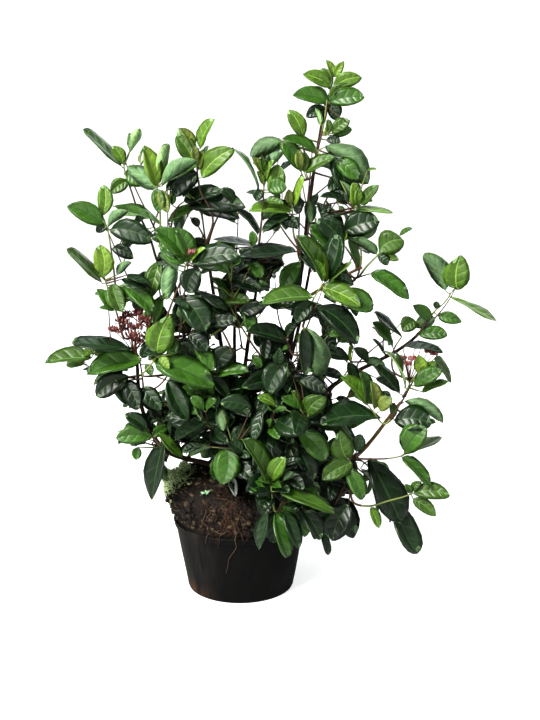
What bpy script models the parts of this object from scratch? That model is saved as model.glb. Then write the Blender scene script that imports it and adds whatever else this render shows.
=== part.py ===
"""Potted laurustinus: an evergreen shrub, about 0.8 m tall, on its root ball in a low nursery pot.

Metres, +Z up. The origin is the middle of the pot's flat underside. The view of the photograph looks
along +Y, with +X to its right. The stems leave the top of the root ball in one clump. Each stem or
bough is one tapering limb, and each mass of foliage is one solid of twigs with leaves in opposite
pairs, every pair turned a quarter round from the one below it.
"""
import math
import random

import bmesh
import bpy
from mathutils import Matrix, Vector
from mathutils.bvhtree import BVHTree
from mathutils.kdtree import KDTree

MM = 0.001
UP = Vector((0, 0, 1))
GAP = 0.3 * MM

# Pot
POT_HEIGHT = 112 * MM
POT_FOOT_RADIUS = 85 * MM
POT_RIM_RADIUS = 105 * MM
POT_WALL = 2.4 * MM
POT_FLOOR = 3.0 * MM
RIM_BAND = 9 * MM
RIM_STEP = 2.0 * MM
FOOT_ROUND = 3 * MM
POT_SIDES = 36

# Root ball: it fills the pot and stands well above the rim, swollen and shifted to the left
SOIL_TOP = 185 * MM
SOIL_FLAT_RADIUS = 62 * MM
SOIL_BULGE_RADIUS = 115 * MM
SOIL_BULGE_HEIGHT = 150 * MM
SOIL_SHIFT = -5 * MM
SOIL_LUMP = 3.0 * MM
SOIL_SIDES = 24

# Limbs
STEM_SIDES = 6
LIMB_STEP = 40 * MM
FLARE_HEIGHT = 14 * MM
FLARE_SWELL = 0.7

# Twigs and leaves
TWIG_SIDES = 3
TWIG_BASE_RADIUS = 1.9 * MM
TWIG_TIP_RADIUS = 1.2 * MM
TWIG_STEP = 64 * MM
INTERNODE = 30 * MM
PAIRS_ON_SIDE_SHOOT = 2
BARE_SHARE = 0.20
LEAF_LENGTH = 80 * MM
LEAF_WIDTH_SHARE = 0.50
LEAF_THICKNESS_SHARE = 0.025
LEAF_ARCH_SHARE = 0.06
STALK_SHARE = 0.11
STALK_RISE = 0.32
STALK_HALF_WIDTH = 0.6 * MM
LEAF_SAG = 0.28
CROWN_AXIS = (45 * MM, 20 * MM)
LEAF_SUNK = 0.1 * MM
LEAF_CLEARANCE = 0.5 * MM
SPACE_SLACK = 14 * MM
STUB = 2.5 * MM
SHOOT_LEAVES = 0.30
SHOOT_ARRIVES = 0.34
SHOOT_TURNS_UP = 0.55
SIDE_SHOOT_SPREAD = 62 * MM
SIDE_SHOOT_THICKNESS = 0.8
SHOOT_SWINGS = (0, 25, -25, 50, -50, 80, -80)
LEAF_TRIES = ((0, 1), (22, 1), (-22, 1), (40, 0.9), (-40, 0.9), (0, 0.75))
SEED = 20

# Each pair of leaves, counted from the tip of its shoot down: (share of the full length, lean from
# the shoot in degrees, distance from the tip in internodes)
PAIR_RULE = ((0.68, 30, 0.10), (0.95, 55, 0.75), (1.05, 72, 1.70))

# Stems, in millimetres: radius at the foot and at the tip, then the foot on the root ball and the
# places that the limb passes on its way to its tip
STEMS = {
    "stem_leader": (5.6, 2.0, (26, 0), ((74, 0, 375), (96, 5, 521), (108, 5, 625), (126, 5, 740))),
    "stem_left_back": (4.8, 2.4, (-22, 20), ((-62, 24, 350), (-114, 0, 533))),
    "stem_left_mid": (4.2, 2.3, (-8, 34), ((-30, 40, 380), (-50, 20, 535))),
    "stem_left_low": (4.4, 2.4, (-42, -14), ((-112, -50, 235), (-144, -60, 303), (-149, -66, 388))),
    "stem_centre": (4.2, 2.2, (2, -24), ((8, -52, 350), (30, -32, 500))),
    "stem_front": (3.4, 2.2, (30, -44), ((44, -104, 210), (48, -152, 216))),
    "stem_right_low": (4.6, 2.4, (50, -16), ((112, -52, 212), (172, -80, 233), (236, -98, 322))),
    "stem_right_high": (4.8, 2.3, (47, 8), ((131, -16, 317), (239, -20, 382), (278, -20, 416))),
    "stem_back_left": (4.6, 2.3, (-30, 42), ((-82, 96, 340), (-112, 128, 470))),
    "stem_back_right": (4.6, 2.3, (24, 44), ((82, 104, 350), (112, 128, 490))),
    "stem_back_mid": (4.2, 2.3, (-2, 54), ((-12, 140, 330), (-12, 176, 430))),
}

# Boughs, in millimetres: the stem that carries it, the height where it leaves, radius at its foot and
# at its tip, and the places that it passes
BOUGHS = {
    "bough_right_top": ("stem_leader", 455, 2.8, 2.0, ((150, -34, 494), (180, -52, 512))),
    "bough_front": ("stem_leader", 300, 3.0, 2.1, ((84, -60, 356), (94, -88, 412))),
    "bough_left_out": ("stem_left_low", 304, 2.4, 1.9, ((-172, -60, 326), (-190, -62, 348))),
}

# Masses of foliage, in millimetres: the limb that carries it, the height where its own stem leaves
# that limb (None is the limb's tip), the side shoots that its leading shoot bears, the size of its
# leaves as a share of the full length, and the tips of its main shoots, the leading one first
MASSES = {
    "foliage_crown": ("stem_leader", None, 0, 0.72, ((138, 5, 771), (155, -15, 722))),
    "foliage_leader_left": ("stem_leader", 662, 0, 0.86, ((88, -10, 720), (38, -40, 684))),
    "foliage_leader_right": ("stem_leader", 600, 1, 0.90, ((173, -30, 604), (202, 6, 614), (166, 30, 672))),
    "foliage_leader_mid": ("stem_leader", 515, 0, 0.84, ((84, -66, 606), (91, -30, 662))),
    "foliage_leader_back": ("stem_leader", 560, 1, 0.90, ((112, 78, 690), (150, 74, 640))),
    "foliage_leader_low": ("stem_leader", 400, 1, 1.00, ((52, 56, 500),)),
    "foliage_centre_top": ("stem_centre", None, 1, 0.86, ((34, -50, 668), (0, -66, 610))),
    "foliage_shoulder": ("bough_right_top", None, 1, 0.90, ((209, -60, 540), (236, -24, 520))),
    "foliage_centre_front": ("bough_front", None, 1, 1.00, ((122, -110, 498), (84, -122, 470))),
    "foliage_left_tip": ("stem_left_back", None, 1, 0.86, ((-165, 0, 659),)),
    "foliage_left_upright": ("stem_left_back", 500, 0, 0.86, ((-113, -50, 638), (-90, -40, 585))),
    "foliage_left_crown": ("stem_left_mid", None, 0, 0.86, ((-58, 0, 634), (-78, 35, 684), (-24, 16, 600))),
    "foliage_left_edge": ("stem_left_back", 400, 0, 0.84, ((-189, -50, 567), (-150, -70, 530))),
    "foliage_left_high": ("stem_left_low", 350, 0, 0.90, ((-188, -80, 496), (-164, -20, 470))),
    "foliage_left_buds": ("stem_left_low", None, 0, 0.80, ((-151, -72, 432),)),
    "foliage_left_far": ("bough_left_out", None, 0, 1.00, ((-238, -62, 380), (-212, -96, 392))),
    "foliage_left_low": ("stem_left_low", 245, 1, 0.92, ((-168, -40, 262), (-118, -84, 250))),
    "foliage_left_front": ("stem_left_low", 330, 1, 1.00, ((-65, -110, 540), (-96, -132, 440))),
    "foliage_left_inner": ("stem_left_mid", 370, 2, 1.08, ((-98, 10, 420),)),
    "foliage_centre_left": ("stem_centre", 390, 1, 1.05, ((-6, -110, 445), (-14, -76, 530))),
    "foliage_centre": ("bough_front", 340, 1, 1.10, ((99, -146, 431), (58, -138, 385))),
    "foliage_front_mid": ("stem_centre", 262, 1, 1.05, ((100, -150, 328), (52, -140, 320))),
    "foliage_front_left": ("stem_centre", 226, 1, 1.05, ((-46, -130, 318), (-12, -138, 262))),
    "foliage_front_low": ("stem_front", None, 0, 0.92, ((50, -178, 228), (88, -160, 206), (14, -166, 216))),
    "foliage_right_foot": ("stem_right_low", 214, 1, 1.08, ((150, -124, 172),)),
    "foliage_right_hang": ("stem_right_low", 228, 0, 1.08, ((214, -76, 196), (250, -66, 136))),
    "foliage_right_low": ("stem_right_low", 262, 1, 0.84, ((240, -122, 254), (268, -112, 220))),
    "foliage_right_buds": ("stem_right_low", None, 1, 0.80, ((252, -100, 360), (272, -90, 392))),
    "foliage_right_front": ("stem_right_high", 300, 1, 0.84, ((177, -120, 356),)),
    "foliage_right_upper": ("stem_right_high", 372, 1, 0.84, ((214, -60, 437),)),
    "foliage_right_tip": ("stem_right_high", None, 0, 0.92, ((321, -20, 474), (296, -44, 440))),
    "foliage_right_inner": ("stem_right_high", 262, 1, 1.00, ((152, -44, 412),)),
    "foliage_right_back": ("stem_right_high", 350, 2, 0.95, ((262, 74, 420),)),
    "foliage_back_left_top": ("stem_back_left", None, 2, 0.90, ((-118, 140, 610),)),
    "foliage_back_left": ("stem_back_left", 380, 2, 1.00, ((-204, 104, 440),)),
    "foliage_back_left_low": ("stem_back_left", 262, 2, 1.05, ((-150, 124, 290),)),
    "foliage_back_mid_top": ("stem_back_mid", None, 2, 0.95, ((-6, 186, 570),)),
    "foliage_back_mid": ("stem_back_mid", 300, 2, 1.05, ((6, 216, 320),)),
    "foliage_back_right_top": ("stem_back_right", None, 2, 0.90, ((96, 134, 640),)),
    "foliage_back_right": ("stem_back_right", 370, 2, 1.00, ((200, 122, 470),)),
    "foliage_back_right_low": ("stem_back_right", 262, 2, 1.05, ((156, 112, 286),)),
}

# Flat heads of flower buds, in millimetres: the mass that bears it at its leading tip, the radius of
# the head, its height and the number of its bud clusters
BUD_HEADS = {
    "foliage_left_buds": (32, 34, 8),
    "foliage_right_buds": (16, 20, 4),
    "foliage_left_front": (8, 10, 1),
}
BUD_RADIUS = 6 * MM
BUD_STALK_RADIUS = 0.9 * MM
BUD_STALK_SUNK = 4 * MM
BUD_TURN = 2.4

COLOURS = {
    "pot": ((0.030, 0.028, 0.027), 0.55),
    "soil": ((0.080, 0.050, 0.032), 0.95),
    "bark": ((0.060, 0.035, 0.024), 0.80),
    "leaf": ((0.035, 0.120, 0.022), 0.35),
}


def clear_scene():
    for item in list(bpy.data.objects):
        bpy.data.objects.remove(item, do_unlink=True)


def make_collection(name):
    collection = bpy.data.collections.new(name)
    bpy.context.scene.collection.children.link(collection)
    return collection


def make_material(name):
    (red, green, blue), roughness = COLOURS[name]
    material = bpy.data.materials.new(name)
    material.use_nodes = True
    shader = material.node_tree.nodes["Principled BSDF"]
    shader.inputs["Base Color"].default_value = (red, green, blue, 1)
    shader.inputs["Roughness"].default_value = roughness
    shader.inputs["Metallic"].default_value = 0
    material.diffuse_color = (red, green, blue, 1)
    return material


def millimetres(place):
    return Vector(place) * MM


def add_object(name, mesh, material, collection):
    item = bpy.data.objects.new(name, mesh)
    mesh.materials.clear()
    mesh.materials.append(material)
    collection.objects.link(item)
    return item


def smooth(item, degrees):
    item.data.shade_smooth()
    item.data.set_sharp_from_angle(angle=math.radians(degrees))


def evaluated_mesh(item):
    bpy.context.view_layer.update()
    depsgraph = bpy.context.evaluated_depsgraph_get()
    return bpy.data.meshes.new_from_object(item.evaluated_get(depsgraph))


def turned_solid(name, profile, sides, material, collection):
    """A solid turned round Z from a profile of (radius, height) corners, down its outer side."""
    mesh = bpy.data.meshes.new(name)
    shape = bmesh.new()
    corners = [shape.verts.new((radius, 0, height)) for radius, height in profile]
    for start, end in zip(corners, corners[1:]):
        shape.edges.new((start, end))
    shape.to_mesh(mesh)
    shape.free()
    item = add_object(name, mesh, material, collection)
    screw = item.modifiers.new("turn", "SCREW")
    screw.steps = screw.render_steps = sides
    screw.use_merge_vertices = True
    screw.merge_threshold = 0.00002
    return item


def tube_mesh(name, points, radii, sides, collection):
    """A tapering tube along points, with a flat cap at each end, as a closed mesh."""
    ring = bpy.data.curves.new(name + "_ring", "CURVE")
    outline = ring.splines.new("POLY")
    outline.points.add(sides - 1)
    for corner, point in enumerate(outline.points):
        turn = 2 * math.pi * corner / sides
        point.co = (math.cos(turn), math.sin(turn), 0, 1)
    outline.use_cyclic_u = True
    guide = bpy.data.objects.new(name + "_ring", ring)
    guide.hide_render = True
    guide.display_type = "WIRE"
    collection.objects.link(guide)
    curve = bpy.data.curves.new(name, "CURVE")
    curve.dimensions = "3D"
    curve.bevel_mode = "OBJECT"
    curve.bevel_object = guide
    curve.use_fill_caps = True
    spline = curve.splines.new("POLY")
    spline.points.add(len(points) - 1)
    for point, place, radius in zip(spline.points, points, radii):
        point.co = (*place, 1)
        point.radius = radius
    item = bpy.data.objects.new(name, curve)
    collection.objects.link(item)
    mesh = evaluated_mesh(item)
    bpy.data.objects.remove(item, do_unlink=True)
    bpy.data.objects.remove(guide, do_unlink=True)
    shape = bmesh.new()
    shape.from_mesh(mesh)
    bmesh.ops.remove_doubles(shape, verts=shape.verts, dist=0.00001)
    bmesh.ops.triangulate(shape, faces=shape.faces)
    bmesh.ops.recalc_face_normals(shape, faces=shape.faces)
    shape.to_mesh(mesh)
    shape.free()
    return mesh


def curve_through(places, step):
    """Points about a step apart on a smooth curve through the places."""
    ends = [2 * places[0] - places[1], *places, 2 * places[-1] - places[-2]]
    points = [places[0]]
    for before, start, end, after in zip(ends, ends[1:], ends[2:], ends[3:]):
        count = max(2, round((end - start).length / step))
        for index in range(1, count + 1):
            t = index / count
            pull = 2 * start + (end - before) * t
            bend = (2 * before - 5 * start + 4 * end - after) * t ** 2
            twist = (3 * start - before - 3 * end + after) * t ** 3
            points.append((pull + bend + twist) / 2)
    return points


def arc_lengths(points):
    lengths = [0.0]
    for start, end in zip(points, points[1:]):
        lengths.append(lengths[-1] + (end - start).length)
    return lengths


def taper(points, foot_radius, tip_radius):
    lengths = arc_lengths(points)
    return [foot_radius + (tip_radius - foot_radius) * length / lengths[-1] for length in lengths]


def place_on(points, radii, height):
    """The point, direction and radius of a limb where it passes a height; None is its tip."""
    if height is None:
        return points[-1], (points[-1] - points[-2]).normalized(), radii[-1]
    lows = zip(points, points[1:], radii, radii[1:])
    for start, end, start_radius, end_radius in lows:
        if start.z <= height * MM <= end.z:
            share = (height * MM - start.z) / (end.z - start.z)
            radius = start_radius + (end_radius - start_radius) * share
            return start.lerp(end, share), (end - start).normalized(), radius
    raise ValueError(f"the limb does not pass {height} mm")


def limb_start(points, radii, height, towards, swing=0.0):
    """Where a side limb starts and which way it leaves, clear of its carrier by the gap."""
    spot, along, radius = place_on(points, radii, height)
    if height is None:
        return spot + along * GAP, along
    out = towards - spot
    out = (out - along * out.dot(along)).normalized()
    out = Matrix.Rotation(math.radians(swing), 3, along) @ out
    return spot + out * (radius + GAP), out


def bough_path(start, out, places):
    """A side limb leaves its carrier squarely and then sweeps through its places."""
    return [start] + curve_through([start + out * STUB, *places], LIMB_STEP)


def build_pot(material, collection):
    inner_rim = POT_RIM_RADIUS - POT_WALL
    slope = (POT_RIM_RADIUS - POT_FOOT_RADIUS) / POT_HEIGHT

    def outside(height):
        return POT_FOOT_RADIUS + slope * height - RIM_STEP

    band_foot = POT_HEIGHT - RIM_BAND
    profile = [
        (0, POT_FLOOR),
        (outside(POT_FLOOR) - POT_WALL, POT_FLOOR),
        (inner_rim - RIM_STEP, band_foot),
        (inner_rim, POT_HEIGHT - 1 * MM),
        (inner_rim + 0.8 * MM, POT_HEIGHT),
        (POT_RIM_RADIUS - 0.8 * MM, POT_HEIGHT),
        (POT_RIM_RADIUS, POT_HEIGHT - 1 * MM),
        (outside(band_foot) + RIM_STEP, band_foot),
        (outside(band_foot), band_foot - 2 * MM),
        (outside(FOOT_ROUND), FOOT_ROUND),
        (outside(0) - FOOT_ROUND * 0.6, 0),
        (0, 0),
    ]
    pot = turned_solid("pot", profile, POT_SIDES, material, collection)
    smooth(pot, 40)
    return pot


def build_root_ball(material, collection):
    slope = (POT_RIM_RADIUS - POT_FOOT_RADIUS) / POT_HEIGHT
    inside_foot = POT_FOOT_RADIUS + slope * POT_FLOOR - RIM_STEP - POT_WALL - GAP
    inside_rim = POT_RIM_RADIUS - POT_WALL - RIM_STEP - 2 * GAP
    band_foot = POT_HEIGHT - RIM_BAND
    over_rim = POT_HEIGHT + 3 * MM
    profile = [
        (0, SOIL_TOP),
        (SOIL_FLAT_RADIUS, SOIL_TOP),
        (SOIL_FLAT_RADIUS + 26 * MM, SOIL_TOP - 6 * MM),
        (SOIL_BULGE_RADIUS - 8 * MM, SOIL_TOP - 16 * MM),
        (SOIL_BULGE_RADIUS, SOIL_BULGE_HEIGHT),
        (SOIL_BULGE_RADIUS - 3 * MM, SOIL_BULGE_HEIGHT - 14 * MM),
        (SOIL_BULGE_RADIUS - 8 * MM, over_rim + 3 * MM),
        (inside_rim, over_rim),
        (inside_rim, band_foot),
        (inside_foot, POT_FLOOR + GAP),
        (0, POT_FLOOR + GAP),
    ]
    soil = turned_solid("root_ball", profile, SOIL_SIDES, material, collection)
    soil.data = evaluated_mesh(soil)
    soil.modifiers.clear()
    lumps = random.Random(SEED)
    for vertex in soil.data.vertices:
        if over_rim + 1 * MM < vertex.co.z < SOIL_TOP - 1 * MM:
            outwards = Vector((vertex.co.x, vertex.co.y, 0)).normalized()
            lump = lumps.uniform(-SOIL_LUMP, SOIL_LUMP)
            vertex.co += outwards * lump + Vector((SOIL_SHIFT, 0, 0))
    return soil


def build_limbs(material, collection):
    """All stems and boughs; returns the points and the radii of each by its name."""
    limbs = {}
    foot_height = SOIL_TOP + GAP
    for name, (foot_radius, tip_radius, (x, y), passed) in STEMS.items():
        foot = Vector((x * MM, y * MM, foot_height))
        collar = foot + UP * FLARE_HEIGHT
        points = [foot, foot + UP * FLARE_HEIGHT * 0.4]
        points += curve_through([collar, *map(millimetres, passed)], LIMB_STEP)
        radii = taper(points, foot_radius * MM, tip_radius * MM)
        radii[0] *= 1 + FLARE_SWELL
        radii[1] *= 1 + FLARE_SWELL * 0.4
        limbs[name] = (points, radii)
    for name, (carrier, height, foot_radius, tip_radius, passed) in BOUGHS.items():
        places = [millimetres(place) for place in passed]
        start, out = limb_start(*limbs[carrier], height, places[0])
        points = bough_path(start, out, places)
        limbs[name] = (points, taper(points, foot_radius * MM, tip_radius * MM))
    for name, (points, radii) in limbs.items():
        mesh = tube_mesh(name, points, radii, STEM_SIDES, collection)
        smooth(add_object(name, mesh, material, collection), 40)
    return limbs


def shoot_curve(start, out, tip):
    """A shoot leaves along out, sweeps towards its tip and turns up at its end."""
    reach = (tip - start).length
    aim = (tip - start).normalized()
    finish = (aim + UP * SHOOT_TURNS_UP).normalized()
    near = start + out * reach * SHOOT_LEAVES
    far = tip - finish * reach * SHOOT_ARRIVES
    count = max(3, round(reach / TWIG_STEP))
    points = []
    for index in range(count + 1):
        t = index / count
        early = start * (1 - t) ** 3 + near * 3 * t * (1 - t) ** 2
        points.append(early + far * 3 * t ** 2 * (1 - t) + tip * t ** 3)
    return points


def side_tips(rng, start, tip, count):
    """Tips of seeded side shoots, fanned round the leading shoot below its tip."""
    aim = (tip - start).normalized()
    across = aim.orthogonal().normalized()
    turn = rng.uniform(0, 2 * math.pi)
    tips = []
    for index in range(count):
        swing = Matrix.Rotation(turn + index * 2 * math.pi / count, 3, aim)
        out = (swing @ across).normalized()
        spread = SIDE_SHOOT_SPREAD * rng.uniform(0.85, 1.15)
        back = SIDE_SHOOT_SPREAD * rng.uniform(0.35, 0.75)
        tips.append(tip + out * spread - aim * back + UP * 0.15 * spread)
    return tips


def leading_shoot(name, limbs, swing):
    """The centre line of a mass's own stem, which leaves its limb squarely."""
    carrier, height, _, _, tips = MASSES[name]
    tip = millimetres(tips[0])
    start, out = limb_start(*limbs[carrier], height, tip, swing)
    return [start] + shoot_curve(start + out * STUB, out, tip)


def side_shoot(lead, tip, swing):
    """The centre line of a shoot that forks from the leading one."""
    fork = min(lead[2:-1], key=lambda point: (point - tip).length + 0.9 * (point - lead[0]).length)
    out = ((tip - fork).normalized() + UP * 0.1).normalized()
    around = (lead[-1] - lead[0]).normalized()
    return shoot_curve(fork, Matrix.Rotation(math.radians(swing), 3, around) @ out, tip)


def along(points, distance):
    """The point and direction at a distance back from the end of a line of points."""
    lengths = arc_lengths(points)
    target = lengths[-1] - distance
    for index in range(len(points) - 1):
        if target <= lengths[index + 1]:
            span = lengths[index + 1] - lengths[index]
            share = max(0.0, (target - lengths[index]) / span)
            direction = (points[index + 1] - points[index]).normalized()
            return points[index].lerp(points[index + 1], share), direction
    return points[-1], (points[-1] - points[-2]).normalized()


def leaf_frame(spot, shoot_direction, azimuth, lean, sag):
    """Axes of a leaf: X along its midrib from the twig, Z out of its upper face, to the light."""
    side = shoot_direction.orthogonal().normalized()
    side = Matrix.Rotation(azimuth, 3, shoot_direction) @ side
    outwards = Vector((spot.x - CROWN_AXIS[0], spot.y - CROWN_AXIS[1], 0)).normalized()
    midrib = shoot_direction * math.cos(lean) + side * math.sin(lean)
    midrib = (midrib + outwards * sag * 0.6 - UP * sag).normalized()
    face = shoot_direction * 0.25 + UP * 0.55 + outwards * 0.75
    face = (face - midrib * face.dot(midrib)).normalized()
    across = face.cross(midrib)
    rotation = Matrix((midrib, across, face)).transposed().to_4x4()
    return Matrix.Translation(spot - midrib * LEAF_SUNK) @ rotation


def leaf_shape(length, slack=0.0):
    """A pointed oval blade on its stalk: a flat-sided outline, arched, over a shallow keel."""
    half_width = length * LEAF_WIDTH_SHARE / 2 + slack
    arch = length * LEAF_ARCH_SHARE
    root = (0, 0, slack)
    tip = (length + slack, 0, -arch + slack)
    keel = (length / 2, 0, arch - length * LEAF_THICKNESS_SHARE - slack)
    right = [
        (length * STALK_SHARE, -STALK_HALF_WIDTH - slack, arch * STALK_RISE + slack),
        (length * 0.38, -half_width, arch + slack),
        (length * 0.72, -half_width * 0.80, arch * 0.8 + slack),
    ]
    left = [(x, -y, z) for x, y, z in right]
    shape = bmesh.new()
    outline = [shape.verts.new(place) for place in (root, *right, tip, *reversed(left))]
    bottom = shape.verts.new(keel)
    for start, end in zip(outline, outline[1:] + outline[:1]):
        shape.faces.new((end, start, bottom))
    for corners in ((0, 1, 7), (1, 2, 7), (2, 6, 7), (2, 3, 6), (3, 5, 6), (3, 4, 5)):
        shape.faces.new([outline[corner] for corner in corners])
    shape.verts.index_update()
    return shape


class Element:
    """A placed twig or leaf: its triangles, and the ball round them for a first quick test."""

    def __init__(self, owner, corners, faces):
        self.owner = owner
        self.tree = BVHTree.FromPolygons(corners, faces)
        self.centre = sum(corners, Vector()) / len(corners)
        self.reach = max((corner - self.centre).length for corner in corners)

    def meets(self, other):
        if (self.centre - other.centre).length > self.reach + other.reach:
            return False
        return bool(self.tree.overlap(other.tree))


def mesh_element(owner, mesh):
    corners = [vertex.co.copy() for vertex in mesh.vertices]
    return Element(owner, corners, [tuple(face.vertices) for face in mesh.polygons])


def leaf_element(owner, matrix, length, slack, rooted=True):
    """A leaf to test; without its root, it may be tested against the twig that carries it."""
    shape = leaf_shape(length, slack)
    corners = [matrix @ vertex.co for vertex in shape.verts]
    if not rooted:
        corners[0] = corners[1].lerp(corners[-2], 0.5)
    faces = [tuple(vertex.index for vertex in face.verts) for face in shape.faces]
    shape.free()
    return Element(owner, corners, faces)


class Crown:
    """The whole crown's limbs, twigs and leaves, and the rules that keep them apart."""

    def __init__(self, limbs, collection):
        self.limbs = limbs
        self.collection = collection
        self.solid = []
        self.twigs = []
        self.leaves = []
        self.shoots = {}
        self.trees = {}

    def add_twigs(self):
        for name, (_, _, extra, _, tips) in MASSES.items():
            rng = random.Random(f"{SEED} {name}")
            kept = [self.clear_shoot(name, lambda swing: leading_shoot(name, self.limbs, swing), 1.0)]
            if kept[0] is None:
                raise ValueError(f"{name}: its leading shoot meets another limb")
            lead = kept[0][0]
            others = [millimetres(tip) for tip in tips[1:]] + side_tips(rng, lead[0], lead[-1], extra)
            for tip in others:
                kept.append(self.clear_shoot(name, lambda swing: side_shoot(lead, tip, swing), SIDE_SHOOT_THICKNESS))
            self.shoots[name] = [shoot for shoot in kept if shoot]
            samples = [point for points, _ in self.shoots[name] for point in points[1:]]
            tree = KDTree(len(samples))
            for number, point in enumerate(samples):
                tree.insert(point, number)
            tree.balance()
            self.trees[name] = tree

    def clear_shoot(self, name, route, thickness):
        """The first of a few swings of a shoot that touches no limb and no other mass's twig."""
        others = [twig for twig in self.twigs if twig.owner != name]
        for swing in SHOOT_SWINGS:
            points = route(swing)
            radii = taper(points, TWIG_BASE_RADIUS * thickness, TWIG_TIP_RADIUS)
            mesh = tube_mesh(name + "_twig", points, radii, TWIG_SIDES, self.collection)
            twig = mesh_element(name, mesh)
            if not any(twig.meets(other) for other in self.solid + others):
                self.twigs.append(twig)
                return points, mesh
            bpy.data.meshes.remove(mesh)
        return None

    def in_own_space(self, name, point):
        own = self.trees[name].find(point)[2]
        rest = min(tree.find(point)[2] for other, tree in self.trees.items() if other != name)
        return own <= rest + SPACE_SLACK

    def try_leaf(self, name, matrix, length, partner):
        spots = [matrix @ Vector((length * share, 0, 0)) for share in (0.6, 1.0)]
        if not all(self.in_own_space(name, spot) for spot in spots):
            return None
        wide = leaf_element(name, matrix, length, LEAF_CLEARANCE)
        others = [twig for twig in self.twigs if twig.owner != name]
        if any(wide.meets(other) for other in self.solid + others):
            return None
        if any(wide.meets(leaf) for leaf in self.leaves if leaf is not partner):
            return None
        blade = leaf_element(name, matrix, length, 0, rooted=False)
        own = [twig for twig in self.twigs if twig.owner == name]
        return None if any(blade.meets(twig) for twig in own) else wide

    def add_leaves(self, name, shoot_number, pair):
        """One opposite pair, each leaf turned or shortened a little where it would touch."""
        points, _ = self.shoots[name][shoot_number]
        share, lean, back = PAIR_RULE[pair]
        rng = random.Random(f"{SEED} {name} {shoot_number} {pair}")
        distance = back * INTERNODE * rng.uniform(0.9, 1.1) + 2 * MM
        if distance > arc_lengths(points)[-1] * (1 - BARE_SHARE):
            return []
        spot, direction = along(points, distance)
        first = rng.uniform(0, 40) if pair == 0 else rng.uniform(-20, 20)
        azimuth = math.radians(first + 90 * pair + 50 * shoot_number)
        size = LEAF_LENGTH * MASSES[name][3] * share
        placed = []
        partner = None
        for half in (0, 1):
            length = size * rng.uniform(0.88, 1.12)
            tilt = math.radians(lean + rng.uniform(-9, 9))
            sag = rng.uniform(0.0, 0.15) + LEAF_SAG * pair
            for turn, cut in LEAF_TRIES:
                swung = azimuth + math.pi * half + math.radians(turn)
                matrix = leaf_frame(spot, direction, swung, tilt, sag)
                leaf = self.try_leaf(name, matrix, length * cut, partner)
                if leaf:
                    partner = leaf
                    self.leaves.append(leaf)
                    placed.append((matrix, length * cut))
                    break
        return placed


def leaf_mesh(name, matrix, length):
    mesh = bpy.data.meshes.new(name + "_leaf")
    shape = leaf_shape(length)
    bmesh.ops.transform(shape, matrix=matrix, verts=shape.verts)
    shape.to_mesh(mesh)
    shape.free()
    return mesh


def bud_mesh(name, place):
    mesh = bpy.data.meshes.new(name + "_bud")
    shape = bmesh.new()
    bmesh.ops.create_uvsphere(shape, u_segments=4, v_segments=2, radius=BUD_RADIUS)
    bmesh.ops.translate(shape, vec=place, verts=shape.verts)
    shape.to_mesh(mesh)
    shape.free()
    return mesh


def bud_head(name, points, collection):
    """Stalks that fan out from a shoot's tip, each with a lump of buds on its end."""
    radius, height, count = BUD_HEADS[name]
    top, direction = along(points, BUD_STALK_SUNK)
    level = (direction + UP).normalized()
    across = level.orthogonal().normalized()
    radii = (BUD_STALK_RADIUS * 1.3, BUD_STALK_RADIUS)
    meshes = []
    for index in range(count):
        ring = math.sqrt(index / max(count - 1, 1))
        out = Matrix.Rotation(index * BUD_TURN, 3, level) @ across
        end = top + (level * height * (1 - 0.25 * ring) + out * radius * ring) * MM
        meshes.append(tube_mesh(name + "_stalk", (top, end), radii, TWIG_SIDES, collection))
        meshes.append(bud_mesh(name, end))
    return meshes


def union_mesh(name, meshes, material, collection):
    """Fuses closed meshes into one solid with a single Boolean union."""
    loose = bpy.data.collections.new(name + "_pieces")
    bpy.context.scene.collection.children.link(loose)
    first = add_object(name, meshes[0], material, collection)
    for number, mesh in enumerate(meshes[1:]):
        piece = add_object(f"{name}_piece_{number}", mesh, material, loose)
        piece.hide_render = True
        piece.display_type = "WIRE"
    union = first.modifiers.new("union", "BOOLEAN")
    union.operation = "UNION"
    union.operand_type = "COLLECTION"
    union.collection = loose
    union.solver = "MANIFOLD"  # keeps the thin meetings of leaf and twig closed
    fused = evaluated_mesh(first)
    first.modifiers.remove(union)
    first.data = fused
    for piece in list(loose.objects):
        bpy.data.objects.remove(piece, do_unlink=True)
    bpy.data.collections.remove(loose)
    keep_one_body(fused)
    smooth(first, 25)
    return first


def volume_of(faces):
    return sum(f.verts[0].co.dot(f.verts[1].co.cross(f.verts[2].co)) for f in faces) / 6


def keep_one_body(mesh):
    """Keeps the largest body; loose scraps go, and a hollow that fusing sealed is filled."""
    shape = bmesh.new()
    shape.from_mesh(mesh)
    bmesh.ops.triangulate(shape, faces=shape.faces)
    bodies = []
    left = set(shape.faces)
    while left:
        stack = [left.pop()]
        body = []
        while stack:
            face = stack.pop()
            body.append(face)
            for edge in face.edges:
                for near in edge.link_faces:
                    if near in left:
                        left.remove(near)
                        stack.append(near)
        bodies.append(body)
    bodies.sort(key=volume_of)
    scraps = [face for body in bodies[:-1] for face in body]
    bmesh.ops.delete(shape, geom=scraps, context="FACES")
    shape.to_mesh(mesh)
    shape.free()


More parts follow.
